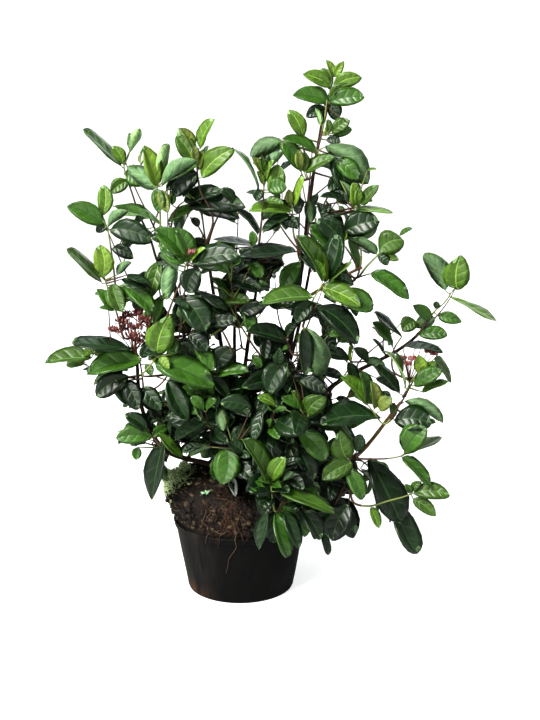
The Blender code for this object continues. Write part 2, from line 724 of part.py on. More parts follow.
def build_crown(limbs, material, collection):
    """All masses: the twigs first, then pair after pair of leaves on every shoot."""
    making = make_collection("making")
    crown = Crown(limbs, making)
    for item in collection.objects:
        crown.solid.append(mesh_element(item.name, evaluated_mesh(item)))
    crown.add_twigs()
    leaves = {name: [] for name in MASSES}
    for pair in range(len(PAIR_RULE)):
        for name, shoots in crown.shoots.items():
            leafy = shoots if pair < PAIRS_ON_SIDE_SHOOT else shoots[:1]
            for shoot_number in range(len(leafy)):
                leaves[name] += crown.add_leaves(name, shoot_number, pair)
    for name, shoots in crown.shoots.items():
        meshes = [mesh for _, mesh in shoots]
        meshes += [leaf_mesh(name, matrix, length) for matrix, length in leaves[name]]
        if name in BUD_HEADS:
            meshes += bud_head(name, shoots[0][0], making)
        union_mesh(name, meshes, material, collection)
    bpy.data.collections.remove(making)


def main():
    clear_scene()
    plant = make_collection("potted_laurustinus")
    materials = {name: make_material(name) for name in COLOURS}
    build_pot(materials["pot"], plant)
    build_root_ball(materials["soil"], plant)
    limbs = build_limbs(materials["bark"], plant)
    build_crown(limbs, materials["leaf"], plant)


main()
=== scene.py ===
# %% [markdown]
# # A potted laurustinus, dressed for its picture
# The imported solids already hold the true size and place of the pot, the root ball, every stem and
# every mass of foliage. This lesson dresses them. Each solid gives way to a finer mesh that keeps its
# place: bark with relief, twigs that fork by a seeded rule, and leaves in opposite pairs.
# The first step loads the solids as a fixed frame and keeps the box round them, because nothing that is
# made later may grow far out of it.


# %% Load the frame
import math
import random

import bmesh
import bpy
import numpy as np
from mathutils import Matrix, Vector
from mathutils.bvhtree import BVHTree


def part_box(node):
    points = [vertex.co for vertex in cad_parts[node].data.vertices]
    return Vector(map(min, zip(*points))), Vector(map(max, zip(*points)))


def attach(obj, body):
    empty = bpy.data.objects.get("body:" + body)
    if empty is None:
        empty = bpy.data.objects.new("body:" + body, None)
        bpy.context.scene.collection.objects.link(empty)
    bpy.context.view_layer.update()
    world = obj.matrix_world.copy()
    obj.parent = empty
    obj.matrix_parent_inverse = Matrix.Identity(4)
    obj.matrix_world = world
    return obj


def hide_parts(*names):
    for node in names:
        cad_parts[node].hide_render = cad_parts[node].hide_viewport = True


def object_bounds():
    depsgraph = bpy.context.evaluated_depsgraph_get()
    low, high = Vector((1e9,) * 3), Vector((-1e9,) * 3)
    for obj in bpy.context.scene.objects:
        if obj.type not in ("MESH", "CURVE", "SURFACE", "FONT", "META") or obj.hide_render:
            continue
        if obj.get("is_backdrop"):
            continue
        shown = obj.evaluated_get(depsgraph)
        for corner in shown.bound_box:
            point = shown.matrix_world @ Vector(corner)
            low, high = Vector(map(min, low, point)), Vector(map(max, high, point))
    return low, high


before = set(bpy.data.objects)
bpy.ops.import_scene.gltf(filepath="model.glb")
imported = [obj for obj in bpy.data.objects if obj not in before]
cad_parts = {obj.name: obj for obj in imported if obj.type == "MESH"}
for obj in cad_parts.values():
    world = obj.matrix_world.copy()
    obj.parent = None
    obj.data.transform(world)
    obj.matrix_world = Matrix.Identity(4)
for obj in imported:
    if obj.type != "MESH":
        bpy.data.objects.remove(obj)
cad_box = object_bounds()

MM = 0.001
UP = Vector((0, 0, 1))
SEED = 20
print("the frame has", len(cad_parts), "nodes and is", [round(s, 3) for s in cad_box[1] - cad_box[0]])


# %% [markdown]
# ## Working by hand, in code
# In Blender a modeller adds a primitive, goes into edit mode, picks some of its corners and moves them.
# The helpers below do the same: `start_piece` adds a primitive with nothing else selected, `pick` selects
# corners, edges or faces by a test of their place, `draw_up` raises a disc's edge ring by ring into a
# wall, and `apply_modifier` adds a modifier and applies it. An operator works on all that is selected, so
# each helper first clears the selection. An extrusion leaves the corners in an order that changes from run
# to run, and roots that later feel their way over the peat would end elsewhere each time, so
# `put_in_order` sorts them.


# %% Helpers for modelling
def select_only(*items):
    if bpy.context.object and bpy.context.object.mode != "OBJECT":
        bpy.ops.object.mode_set(mode="OBJECT")
    bpy.ops.object.select_all(action="DESELECT")
    for item in items:
        item.select_set(True)
        bpy.context.view_layer.objects.active = item


def start_piece(name, add, **how):
    """Adds a primitive at its size and place, with nothing else selected, and names it."""
    select_only()
    add(**how)
    piece = bpy.context.object
    piece.name = piece.data.name = name
    return piece


def edit(piece, kind="VERT"):
    select_only(piece)
    bpy.ops.object.mode_set(mode="EDIT")
    bpy.ops.mesh.select_mode(type=kind)
    bpy.ops.mesh.select_all(action="DESELECT")


def pick(piece, test, parts="verts"):
    """Selects the corners, edges or faces that pass a test, and nothing else."""
    bpy.ops.mesh.select_all(action="DESELECT")
    shape = bmesh.from_edit_mesh(piece.data)
    found = [part for part in getattr(shape, parts) if test(part)]
    for part in found:
        part.select_set(True)
    bmesh.update_edit_mesh(piece.data)
    return len(found)


def done(piece):
    """Leaves edit mode and puts the piece's place into its mesh, with its object at the origin."""
    bpy.ops.object.mode_set(mode="OBJECT")
    select_only(piece)
    bpy.ops.object.transform_apply(location=True, rotation=True, scale=True)
    return piece


def apply_modifier(piece, kind, **settings):
    modifier = piece.modifiers.new(kind.lower(), kind)
    for setting, value in settings.items():
        setattr(modifier, setting, value)
    select_only(piece)
    bpy.ops.object.modifier_apply(modifier=modifier.name)


def start_disc(name, corners, radius, height=0.0):
    """A disc in edit mode with its edge picked, ready to be drawn up ring by ring."""
    piece = start_piece(name, bpy.ops.mesh.primitive_circle_add, vertices=corners, radius=radius,
                        fill_type="NGON", location=(0, 0, height))
    edit(piece, "EDGE")
    pick(piece, lambda edge: edge.is_boundary, "edges")
    return piece


def draw_up(radius, height, rings):
    """Extrudes the picked edge from ring to ring; each ring is a radius and a height."""
    for next_radius, next_height in rings:
        bpy.ops.mesh.extrude_region_move()
        growth = next_radius / radius
        bpy.ops.transform.resize(value=(growth, growth, 1), center_override=(0, 0, 0))
        bpy.ops.transform.translate(value=(0, 0, next_height - height))
        radius, height = next_radius, next_height


ORDER_FROM = (0.311, 0.173, 0.529)


def put_in_order():
    """Sorts a mesh by distance from a place beside it, so that its order is the same in each run."""
    bpy.ops.mesh.select_all(action="SELECT")
    bpy.context.scene.cursor.location = ORDER_FROM
    bpy.ops.mesh.sort_elements(type="CURSOR_DISTANCE", elements={"VERT", "EDGE", "FACE"})
    bpy.context.scene.cursor.location = (0, 0, 0)
    bpy.ops.object.mode_set(mode="OBJECT")
    bpy.ops.object.mode_set(mode="EDIT")


def turn_outwards():
    bpy.ops.mesh.select_all(action="SELECT")
    bpy.ops.mesh.normals_make_consistent(inside=False)


def wear(piece, *materials):
    piece.data.materials.clear()
    for material in materials:
        piece.data.materials.append(material)


def hand_over(piece, slot, *nodes):
    """The piece moves with the plant's one body and stands for these nodes; the slot is not used."""
    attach(piece, "root")
    if nodes:
        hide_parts(*nodes)
    triangles = sum(len(face.vertices) - 2 for face in piece.data.polygons)
    print(piece.name, triangles, "triangles")


# %% [markdown]
# ## Camera, floor and light
# The photograph looks down on the plant a little, from the height of its crown. Its camera is worked out
# from the pot: the ellipse of the rim gives the tilt, and the width of the pot gives the distance. The
# lens follows from the same sums, given in the picture's own pixels.
# The plant stands on a plain pale floor that curves up all round into a wall, like a studio bowl, so no
# horizon shows from any side. A large soft lamp high on the left gives the leaves their pale sheen, and a
# low one beside it reaches the peat under them. Weaker lamps stand on the right, above and behind. The
# paper of the bowl glows a little too, but only for the camera: the background turns white, and the light
# on the plant stays as the lamps give it. A look with more contrast gives the picture its depth.


# %% Camera
PHOTO_SIZE = (540, 720)
PHOTO_FOCAL = 1104
SENSOR = 36
CAMERA_PLACE = Vector((0.0464, -1.644, 0.732))
CAMERA_DOWN = math.radians(12.67)

select_only()
bpy.ops.object.camera_add(location=CAMERA_PLACE, rotation=(math.pi / 2 - CAMERA_DOWN, 0, 0))
camera = bpy.context.object
camera.name = "camera"
camera.data.sensor_width = SENSOR
camera.data.lens = SENSOR * PHOTO_FOCAL / max(PHOTO_SIZE)
bpy.context.scene.camera = camera


def seen_at(place):
    """Where a place shows in the photograph, in its pixels."""
    away = place - CAMERA_PLACE
    depth = away.y * math.cos(CAMERA_DOWN) - away.z * math.sin(CAMERA_DOWN)
    rise = away.y * math.sin(CAMERA_DOWN) + away.z * math.cos(CAMERA_DOWN)
    across = PHOTO_SIZE[0] / 2 + PHOTO_FOCAL * away.x / depth
    return across, PHOTO_SIZE[1] / 2 - PHOTO_FOCAL * rise / depth


print("the pot's foot shows at", [round(pixel) for pixel in seen_at(Vector((0, 0, 0)))])


# %% The studio bowl
BOWL_RADIUS = 4.0
BOWL_CURVE = 1.6
BOWL_STEPS = 10
WALL_ABOVE = 2.0
ROUND = 96

bowl = start_disc("studio_floor", ROUND, BOWL_RADIUS)
turns = [math.pi / 2 * step / BOWL_STEPS for step in range(1, BOWL_STEPS + 1)]
draw_up(BOWL_RADIUS, 0.0, [(BOWL_RADIUS + BOWL_CURVE * math.sin(turn), BOWL_CURVE * (1 - math.cos(turn)))
                           for turn in turns])
bpy.ops.mesh.extrude_region_move(TRANSFORM_OT_translate={"value": (0, 0, WALL_ABOVE)})
done(bowl)
select_only(bowl)
bpy.ops.object.shade_smooth()
bowl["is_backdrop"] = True
PAPER_GREY = 0.56
PAPER_GLOW = 0.56
paper = bpy.data.materials.new("studio_paper")
paper.use_nodes = True
surface = paper.node_tree.nodes["Principled BSDF"]
surface.inputs["Base Color"].default_value = (PAPER_GREY, PAPER_GREY, PAPER_GREY, 1)
surface.inputs["Roughness"].default_value = 0.9
surface.inputs["Emission Color"].default_value = (1, 1, 1, 1)
seen_ray = paper.node_tree.nodes.new("ShaderNodeLightPath")
glow = paper.node_tree.nodes.new("ShaderNodeMath")
glow.operation = "MULTIPLY"
glow.inputs[1].default_value = PAPER_GLOW
paper.node_tree.links.new(seen_ray.outputs["Is Camera Ray"], glow.inputs[0])
paper.node_tree.links.new(glow.outputs[0], surface.inputs["Emission Strength"])
bowl.data.materials.append(paper)


# %% Lamps and sky
LAMPS = {
    # place, the height that it is aimed at, size, watts and colour
    "key_lamp": ((-2.0, -2.3, 3.2), 0.4, 1.7, 345, (1.0, 0.98, 0.94)),
    "low_lamp": ((-1.7, -2.6, 0.7), 0.2, 0.9, 42, (1.0, 0.99, 0.97)),
    "fill_lamp": ((3.2, -2.0, 1.8), 0.4, 2.0, 20, (0.93, 0.97, 1.0)),
    "top_lamp": ((0.4, 1.2, 4.2), 0.4, 2.4, 80, (0.94, 0.97, 1.0)),
    "back_lamp": ((0.9, 3.0, 1.1), 0.4, 2.8, 48, (0.94, 0.97, 1.0)),
}
SKY = (0.90, 0.95, 1.0, 1)
SKY_STRENGTH = 0.10
for name, (place, aim_height, size, power, colour) in LAMPS.items():
    select_only()
    bpy.ops.object.light_add(type="AREA", location=place)
    lamp = bpy.context.object
    lamp.name = name
    lamp.rotation_euler = (Vector((0, 0, aim_height)) - Vector(place)).to_track_quat("-Z", "Y").to_euler()
    lamp.data.shape = "DISK"
    lamp.data.size = size
    lamp.data.energy = power
    lamp.data.color = colour

world = bpy.data.worlds.new("studio_sky")
world.use_nodes = True
sky_light = world.node_tree.nodes["Background"]
sky_light.inputs["Color"].default_value = SKY
sky_light.inputs["Strength"].default_value = SKY_STRENGTH
bpy.context.scene.world = world
bpy.context.scene.view_settings.view_transform = "Standard"
bpy.context.scene.view_settings.look = "Medium High Contrast"
print("the bowl is", round(2 * (BOWL_RADIUS + BOWL_CURVE), 2), "m wide")


# %% [markdown]
# ## Shader groups
# Several finishes share the same effects: a mottle that breaks up every colour, the veins of a leaf, and
# the fine cracks of bark and peat. Each is built once as a node group with named inputs, and put out as
# a plain value or mask. The glossy shader itself stays in the material.


# %% Helpers for nodes
def add_node(tree, kind, inputs=None, **settings):
    """Adds a node; an input that is a socket is linked, and any other is set as a value."""
    made = tree.nodes.new(kind)
    for setting, value in settings.items():
        setattr(made, setting, value)
    for name, value in (inputs or {}).items():
        if isinstance(value, bpy.types.NodeSocket):
            tree.links.new(value, made.inputs[name])
        else:
            made.inputs[name].default_value = value
    return made


def compute(tree, operation, first, second=0.0, third=0.0):
    inputs = {0: first, 1: second, 2: third}
    return add_node(tree, "ShaderNodeMath", inputs, operation=operation).outputs[0]


def ramp(tree, value, low, high, start=0.0, end=1.0):
    """Maps the span from low to high onto start to end, eased and held at both ends."""
    inputs = {"Value": value, "From Min": low, "From Max": high, "To Min": start, "To Max": end}
    return add_node(tree, "ShaderNodeMapRange", inputs, interpolation_type="SMOOTHSTEP").outputs["Result"]


def mix_colours(tree, share, first, second, blend="MIX"):
    inputs = {0: share, 6: first, 7: second}
    return add_node(tree, "ShaderNodeMix", inputs, data_type="RGBA", blend_type=blend).outputs[2]


def start_group(name, inputs, outputs):
    tree = bpy.data.node_groups.new(name, "ShaderNodeTree")
    for label, value in inputs.items():
        socket = tree.interface.new_socket(name=label, in_out="INPUT", socket_type="NodeSocketFloat")
        socket.default_value = value
    for label in outputs:
        tree.interface.new_socket(name=label, in_out="OUTPUT", socket_type="NodeSocketFloat")
    return tree, tree.nodes.new("NodeGroupInput").outputs, tree.nodes.new("NodeGroupOutput").inputs


def place_group(tree, group, **inputs):
    made = tree.nodes.new("ShaderNodeGroup")
    made.node_tree = group
    for name, value in inputs.items():
        made.inputs[name.replace("_", " ")].default_value = value
    return made.outputs


# %% Mottle: two sizes of soft patches, on the object's own coordinates
PATCHES_WEIGH = 1.2
GRAIN_WEIGHS = 0.8
mottle, given, out = start_group("mottle", {"patch scale": 12, "grain scale": 120, "amount": 0.3},
                                 ("shade", "grain"))
spot = add_node(mottle, "ShaderNodeTexCoord").outputs["Object"]
patches = add_node(mottle, "ShaderNodeTexNoise",
                   {"Vector": spot, "Scale": given["patch scale"], "Detail": 3}).outputs["Fac"]
grain = add_node(mottle, "ShaderNodeTexNoise",
                 {"Vector": spot, "Scale": given["grain scale"], "Detail": 4}).outputs["Fac"]
weighed_grain = compute(mottle, "MULTIPLY", grain, GRAIN_WEIGHS)
both = compute(mottle, "MULTIPLY_ADD", patches, PATCHES_WEIGH, weighed_grain)
swing = compute(mottle, "MULTIPLY", compute(mottle, "SUBTRACT", both, 1.0), given["amount"])
mottle.links.new(compute(mottle, "ADD", compute(mottle, "MULTIPLY", swing, 2.0), 1.0), out["shade"])
mottle.links.new(grain, out["grain"])


# %% Veins: side veins that leave the midrib at a slant, on the leaf's own map
veins, given, out = start_group("leaf veins", {"pairs": 6, "slant": 1.5, "width": 0.16},
                                ("vein", "quilting", "margin"))
leaf_map = add_node(veins, "ShaderNodeUVMap", uv_map="leaf").outputs["UV"]
lengthways, across = add_node(veins, "ShaderNodeSeparateXYZ", {"Vector": leaf_map}).outputs[:2]
side = compute(veins, "MULTIPLY", compute(veins, "ABSOLUTE", compute(veins, "SUBTRACT", across, 0.5)), 2.0)
bowed = compute(veins, "MULTIPLY", compute(veins, "POWER", side, 0.8), given["slant"])
phase = compute(veins, "SUBTRACT", compute(veins, "MULTIPLY", lengthways, given["pairs"]), bowed)
wave = compute(veins, "MULTIPLY", compute(veins, "ABSOLUTE", compute(veins, "SUBTRACT",
               compute(veins, "FRACT", phase), 0.5)), 2.0)
start_of_vein = compute(veins, "SUBTRACT", 1.0, given["width"])
line = ramp(veins, wave, start_of_vein, 1.0)
fade = ramp(veins, side, 0.55, 0.95, 1.0, 0.0)
veins.links.new(compute(veins, "MULTIPLY", line, fade), out["vein"])
pillow = compute(veins, "SUBTRACT", 1.0, compute(veins, "POWER", wave, 3.0))
veins.links.new(compute(veins, "MULTIPLY", pillow, fade), out["quilting"])
veins.links.new(ramp(veins, side, 0.86, 1.0), out["margin"])


# %% Cracks: long cells that split bark or peat, with a height for the relief
cracks, given, out = start_group("cracks", {"across": 400, "along": 90, "depth": 1.0}, ("height", "crack"))
spot = add_node(cracks, "ShaderNodeTexCoord").outputs["Object"]
stretch = add_node(cracks, "ShaderNodeCombineXYZ",
                   {"X": given["across"], "Y": given["across"], "Z": given["along"]}).outputs[0]
stretched = add_node(cracks, "ShaderNodeVectorMath", {0: spot, 1: stretch}, operation="MULTIPLY").outputs[0]
cells = add_node(cracks, "ShaderNodeTexVoronoi", {"Vector": stretched, "Scale": 1.0},
                 feature="DISTANCE_TO_EDGE").outputs["Distance"]
rough_noise = {"Vector": stretched, "Scale": 0.7, "Detail": 5}
rough = add_node(cracks, "ShaderNodeTexNoise", rough_noise).outputs["Fac"]
edge_mask = ramp(cracks, cells, 0.0, 0.14, 1.0, 0.0)
cracks.links.new(edge_mask, out["crack"])
raised = compute(cracks, "SUBTRACT", rough, compute(cracks, "MULTIPLY", edge_mask, 0.6))
cracks.links.new(compute(cracks, "MULTIPLY", raised, given["depth"]), out["height"])
print("groups:", [group.name for group in bpy.data.node_groups])


# %% [markdown]
# ## Finishes
# A laurustinus leaf is leathery: nearly black-green when old, mid green in its second year and a clear
# yellow-green at the growing tips, with a paler, duller underside and a pale midrib. One painted texture
# over all leaves would need a picture, and it would smear on so many small faces. So each age is a
# plain colour in a material of its own, and the leaves of a spray are dealt their ages from its tip down.


# %% Helpers for materials
def start_material(name, roughness, specular):
    material = bpy.data.materials.new(name)
    material.use_nodes = True
    tree = material.node_tree
    shader = tree.nodes["Principled BSDF"]
    shader.inputs["Roughness"].default_value = roughness
    shader.inputs["Specular IOR Level"].default_value = specular
    return material, tree, shader


def shaded(tree, colour, factor):
    """A colour made lighter or darker by a factor that changes over the surface."""
    grey = add_node(tree, "ShaderNodeCombineColor", {"Red": factor, "Green": factor, "Blue": factor})
    return mix_colours(tree, 1.0, (*colour, 1), grey.outputs[0], "MULTIPLY")


def set_relief(tree, shader, height, distance, strength):
    inputs = {"Height": height, "Distance": distance, "Strength": strength}
    tree.links.new(add_node(tree, "ShaderNodeBump", inputs).outputs["Normal"], shader.inputs["Normal"])


# %% Leaf finishes
LEAF_SHEEN = 0.38
DULL_SHEEN = 0.25
VEIN_CONTRAST = 0.32
MARGIN_CONTRAST = 0.60
GLOSS_SWING = 0.16
LEAF_RELIEF = 1.2 * MM


def leaf_finish(name, colour, vein_colour, roughness, contrast=VEIN_CONTRAST, sheen=LEAF_SHEEN):
    """One face of a leaf: its age's colour, faint veins, and a waxy, quilted surface."""
    material, tree, shader = start_material(name, roughness, specular=sheen)
    skin = place_group(tree, mottle, patch_scale=48, grain_scale=260, amount=0.60)
    rib = place_group(tree, veins)
    body = shaded(tree, colour, skin["shade"])
    lines = compute(tree, "MAXIMUM", compute(tree, "MULTIPLY", rib["vein"], contrast),
                    compute(tree, "MULTIPLY", rib["margin"], MARGIN_CONTRAST))
    veined = mix_colours(tree, lines, body, (*vein_colour, 1))
    tree.links.new(veined, shader.inputs["Base Color"])
    gloss = compute(tree, "MULTIPLY_ADD", skin["grain"], GLOSS_SWING, roughness - GLOSS_SWING / 2)
    tree.links.new(gloss, shader.inputs["Roughness"])
    surface = compute(tree, "MULTIPLY_ADD", skin["grain"], 0.25, rib["quilting"])
    set_relief(tree, shader, surface, LEAF_RELIEF, 0.50)
    return material


LEAF_AGES = {
    # the colour of the blade, the colour of its veins, and how rough it is
    "leaf_oldest": ((0.0042, 0.0128, 0.0036), (0.015, 0.037, 0.0120), 0.37),
    "leaf_old": ((0.0066, 0.0225, 0.0046), (0.023, 0.061, 0.0160), 0.36),
    "leaf_mature": ((0.032, 0.088, 0.0092), (0.074, 0.170, 0.030), 0.37),
    "leaf_summer": ((0.034, 0.077, 0.0070), (0.083, 0.170, 0.027), 0.39),
    "leaf_fresh": ((0.062, 0.128, 0.0110), (0.130, 0.240, 0.036), 0.41),
    "leaf_tender": ((0.110, 0.190, 0.0180), (0.200, 0.315, 0.052), 0.43),
    "leaf_bronze": ((0.112, 0.146, 0.024), (0.180, 0.215, 0.048), 0.43),
}
ages = [leaf_finish(name, *values) for name, values in LEAF_AGES.items()]
OLDEST, OLD, MATURE, SUMMER, FRESH, TENDER, BRONZE = range(len(ages))


# %% Dull and waxy finishes
MATT_RELIEF = 0.4 * MM


def matt_finish(name, colour, roughness, amount):
    """A dull or waxy surface whose colour changes a little from patch to patch."""
    material, tree, shader = start_material(name, roughness, specular=DULL_SHEEN)
    skin = place_group(tree, mottle, patch_scale=35, grain_scale=420, amount=amount)
    tree.links.new(shaded(tree, colour, skin["shade"]), shader.inputs["Base Color"])
    set_relief(tree, shader, skin["grain"], MATT_RELIEF, 0.6)
    return material


midribs = [matt_finish("midrib_old", (0.026, 0.065, 0.0180), 0.40, 0.25),
           matt_finish("midrib_summer", (0.093, 0.188, 0.036), 0.42, 0.25),
           matt_finish("midrib_young", (0.203, 0.323, 0.060), 0.42, 0.25)]
UNDERSIDES = {
    "underside_old": ((0.088, 0.152, 0.068), (0.170, 0.250, 0.130)),
    "underside_summer": ((0.115, 0.205, 0.092), (0.220, 0.330, 0.170)),
    "underside_young": ((0.215, 0.350, 0.142), (0.370, 0.530, 0.255)),
}
undersides = [leaf_finish(name, *colours, 0.55, 0.7, DULL_SHEEN) for name, colours in UNDERSIDES.items()]
bud_red_finish = matt_finish("bud_dark_red", (0.105, 0.030, 0.027), 0.50, 0.45)
bud_pink_finish = matt_finish("bud_pink", (0.290, 0.115, 0.110), 0.50, 0.35)
stalk_finish = matt_finish("bud_stalk_red", (0.112, 0.045, 0.027), 0.55, 0.35)
green_twig_finish = matt_finish("twig_green", (0.128, 0.158, 0.045), 0.50, 0.35)
red_twig_finish = matt_finish("twig_reddish", (0.055, 0.032, 0.020), 0.55, 0.35)
moss_finish = matt_finish("moss_grey_green", (0.430, 0.520, 0.300), 0.90, 0.60)
moss_dark_finish = matt_finish("moss_dark_green", (0.160, 0.210, 0.070), 0.90, 0.45)
weed_finish = matt_finish("weed_blue_green", (0.225, 0.390, 0.225), 0.60, 0.30)
root_pale_finish = matt_finish("root_pale", (0.088, 0.058, 0.038), 0.80, 0.45)
root_red_finish = matt_finish("root_red_brown", (0.040, 0.019, 0.011), 0.85, 0.45)
dry_leaf_finish = matt_finish("leaf_fallen_silver", (0.420, 0.470, 0.430), 0.60, 0.40)


# %% Bark, peat and pot finishes
CRACK_RELIEF = 0.6 * MM
POT_RELIEF = 0.9 * MM


def bark_finish(name, colour, crack_colour, across, along):
    material, tree, shader = start_material(name, 0.72, specular=0.2)
    skin = place_group(tree, mottle, patch_scale=30, grain_scale=500, amount=0.45)
    split = place_group(tree, cracks, across=across, along=along, depth=1.0)
    body = shaded(tree, colour, skin["shade"])
    share = compute(tree, "MULTIPLY", split["crack"], 0.7)
    tree.links.new(mix_colours(tree, share, body, (*crack_colour, 1)), shader.inputs["Base Color"])
    gloss = compute(tree, "MULTIPLY_ADD", skin["grain"], 0.3, 0.55)
    tree.links.new(gloss, shader.inputs["Roughness"])
    set_relief(tree, shader, split["height"], CRACK_RELIEF, 0.8)
    return material


bark = bark_finish("bark_brown", (0.038, 0.023, 0.016), (0.012, 0.008, 0.006), 900, 160)
young_bark = bark_finish("bark_olive", (0.170, 0.112, 0.042), (0.060, 0.032, 0.014), 900, 160)
peat = bark_finish("peat_brown", (0.0105, 0.0080, 0.0062), (0.0024, 0.0019, 0.0016), 320, 320)
crumb = bark_finish("peat_crumb", (0.018, 0.0125, 0.009), (0.0040, 0.0032, 0.0024), 500, 500)
pale_crumb = bark_finish("peat_crumb_pale", (0.085, 0.062, 0.036), (0.020, 0.014, 0.009), 500, 500)

POT_BLACK = (0.0040, 0.0040, 0.0041)
POT_DUST_AND_LIGHT = (0.034, 0.031, 0.028, 1)
POT_RUST = (0.075, 0.034, 0.016, 1)
pot_plastic, tree, shader = start_material("pot_black_plastic", 0.6, specular=0.07)
skin = place_group(tree, mottle, patch_scale=9, grain_scale=90, amount=0.35)
spot = add_node(tree, "ShaderNodeTexCoord").outputs["Object"]
x_place, _, z_place = add_node(tree, "ShaderNodeSeparateXYZ", {"Vector": spot}).outputs[:3]
streaks = add_node(tree, "ShaderNodeVectorMath", {0: spot, 1: (70, 70, 9)}, operation="MULTIPLY").outputs[0]
runs = add_node(tree, "ShaderNodeTexNoise", {"Vector": streaks, "Scale": 1.0, "Detail": 4}).outputs["Fac"]
# Dust streaks gather mostly on the left side, where the key lamp falls. They are partly real dust and partly
# painted light that makes the lit side paler.
left_side_lit = ramp(tree, x_place, -0.015, -0.100)
dust_and_painted_light = compute(tree, "MULTIPLY_ADD", left_side_lit, 0.85, 0.04)
dust_and_light_mask = compute(tree, "MULTIPLY", ramp(tree, runs, 0.30, 0.75), dust_and_painted_light)
black = shaded(tree, POT_BLACK, skin["shade"])
dusty_and_lit = mix_colours(tree, dust_and_light_mask, black, POT_DUST_AND_LIGHT)
splash = compute(tree, "MULTIPLY", ramp(tree, z_place, 0.030, 0.002), ramp(tree, x_place, -0.030, -0.080))
rusty = mix_colours(tree, compute(tree, "MULTIPLY", splash, ramp(tree, runs, 0.40, 0.62)),
                    dusty_and_lit, POT_RUST)
tree.links.new(rusty, shader.inputs["Base Color"])
tree.links.new(compute(tree, "MULTIPLY_ADD", dust_and_light_mask, 0.35, 0.55), shader.inputs["Roughness"])
set_relief(tree, shader, compute(tree, "ADD", runs, skin["grain"]), POT_RELIEF, 0.5)
print(len(bpy.data.materials), "materials")


# %% [markdown]
# ## The pot
# A nursery pot is blown from thin black plastic: a tapering wall, a small step under the rim, a rolled
# lip and a softly rounded foot. It could be turned from a profile. Here it is drawn up by hand instead,
# as a disc whose edge is extruded and widened ring by ring, because each ring can then be named by the
# height that it stands at. A cloudy displacement of a millimetre makes the wall as uneven as it is in
# the picture, since such pots never stay quite round.


# %% Draw the pot up from its foot
pot_low, pot_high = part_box("pot")
POT_HEIGHT = pot_high.z
RIM_RADIUS = (pot_high.x - pot_low.x) / 2
FOOT_RADIUS = 85 * MM
RIM_BAND = 9 * MM
WALL = 2.4 * MM
STEP_IN = 2.0 * MM
wall_slope = (RIM_RADIUS - FOOT_RADIUS) / POT_HEIGHT


def wall_radius(height):
    return FOOT_RADIUS - STEP_IN + wall_slope * height


POT_RINGS = [(wall_radius(1 * MM) - 0.6 * MM, 0.8 * MM), (wall_radius(3 * MM), 3 * MM)]
POT_RINGS += [(wall_radius(share * 100 * MM), share * 100 * MM) for share in (0.2, 0.4, 0.6, 0.8, 0.98)]
POT_RINGS += [
    (wall_radius(POT_HEIGHT - RIM_BAND) + 0.2 * MM, POT_HEIGHT - RIM_BAND - 1 * MM),
    (wall_radius(POT_HEIGHT - RIM_BAND) + STEP_IN, POT_HEIGHT - RIM_BAND),
    (RIM_RADIUS - 0.4 * MM, POT_HEIGHT - 2.2 * MM),
    (RIM_RADIUS, POT_HEIGHT - 1 * MM),
    (RIM_RADIUS - 0.8 * MM, POT_HEIGHT),
    (RIM_RADIUS - WALL + 0.6 * MM, POT_HEIGHT),
    (RIM_RADIUS - WALL, POT_HEIGHT - 1.2 * MM),
    (RIM_RADIUS - WALL - STEP_IN, POT_HEIGHT - RIM_BAND),
    (wall_radius(30 * MM) - WALL, 30 * MM),
    (wall_radius(3 * MM) - WALL, 3 * MM),
]

FLAT_FOOT = FOOT_RADIUS - 4 * MM
pot = start_disc("pot_shell", ROUND, FLAT_FOOT)
draw_up(FLAT_FOOT, 0.0, POT_RINGS)
bpy.ops.mesh.edge_face_add()
put_in_order()
turn_outwards()
done(pot)


# %% Uneven the wall and smooth the pot
POT_DENT = 2.2 * MM
wall_corners = pot.vertex_groups.new(name="wall")
wall_corners.add([v.index for v in pot.data.vertices if v.co.z > 4 * MM], 1.0, "REPLACE")
dents = bpy.data.textures.new("pot_dents", "CLOUDS")
dents.noise_scale = 0.055
apply_modifier(pot, "DISPLACE", texture=dents, strength=POT_DENT, mid_level=0.5,
               vertex_group="wall", texture_coords="LOCAL", direction="NORMAL")
select_only(pot)
bpy.ops.object.shade_smooth_by_angle(angle=math.radians(38))
wear(pot, pot_plastic)
hand_over(pot, "pot_plastic", "pot")


# %% [markdown]
# ## The root ball
# The peat is held together by roots and stands well above the rim, swollen over its edge. A solid of
# revolution gives the body. It is then divided finely and pushed in and out by three displacements, from
# fist-sized lumps down to crumbs, which is how rough ground is usually made. Loose crumbs, wiry roots
# and a cushion of moss are laid on afterwards.


# %% Body of the peat
_, ball_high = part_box("root_ball")
BALL_TOP = ball_high.z
BALL_SHIFT = -5 * MM
BALL_RADIUS = 114 * MM
BALL_FOOT = 80 * MM
INSIDE_RIM = RIM_RADIUS - WALL - STEP_IN - 1 * MM
BALL_RINGS = [
    (INSIDE_RIM, POT_HEIGHT - RIM_BAND), (INSIDE_RIM, POT_HEIGHT + 1 * MM), (101 * MM, POT_HEIGHT + 6 * MM),
    (104 * MM, 134 * MM), (109 * MM, 147 * MM), (BALL_RADIUS - 1 * MM, 160 * MM), (105 * MM, 171 * MM),
    (91 * MM, 178 * MM), (68 * MM, BALL_TOP - 1 * MM), (40 * MM, BALL_TOP), (12 * MM, BALL_TOP),
]

BALL_CORNERS = 144
BALL_BOTTOM = 4 * MM
ball = start_disc("root_ball_peat", BALL_CORNERS, BALL_FOOT, BALL_BOTTOM)
draw_up(BALL_FOOT, BALL_BOTTOM, BALL_RINGS)
bpy.ops.mesh.edge_face_add()
put_in_order()
pick(ball, lambda corner: corner.co.z > POT_HEIGHT + 4 * MM)
bpy.ops.transform.translate(value=(BALL_SHIFT, 0, 0))
pick(ball, lambda face: len(face.verts) == 4 and face.calc_center_median().z > POT_HEIGHT, "faces")
bpy.ops.mesh.subdivide(number_cuts=3, smoothness=0.6)
put_in_order()
turn_outwards()
done(ball)

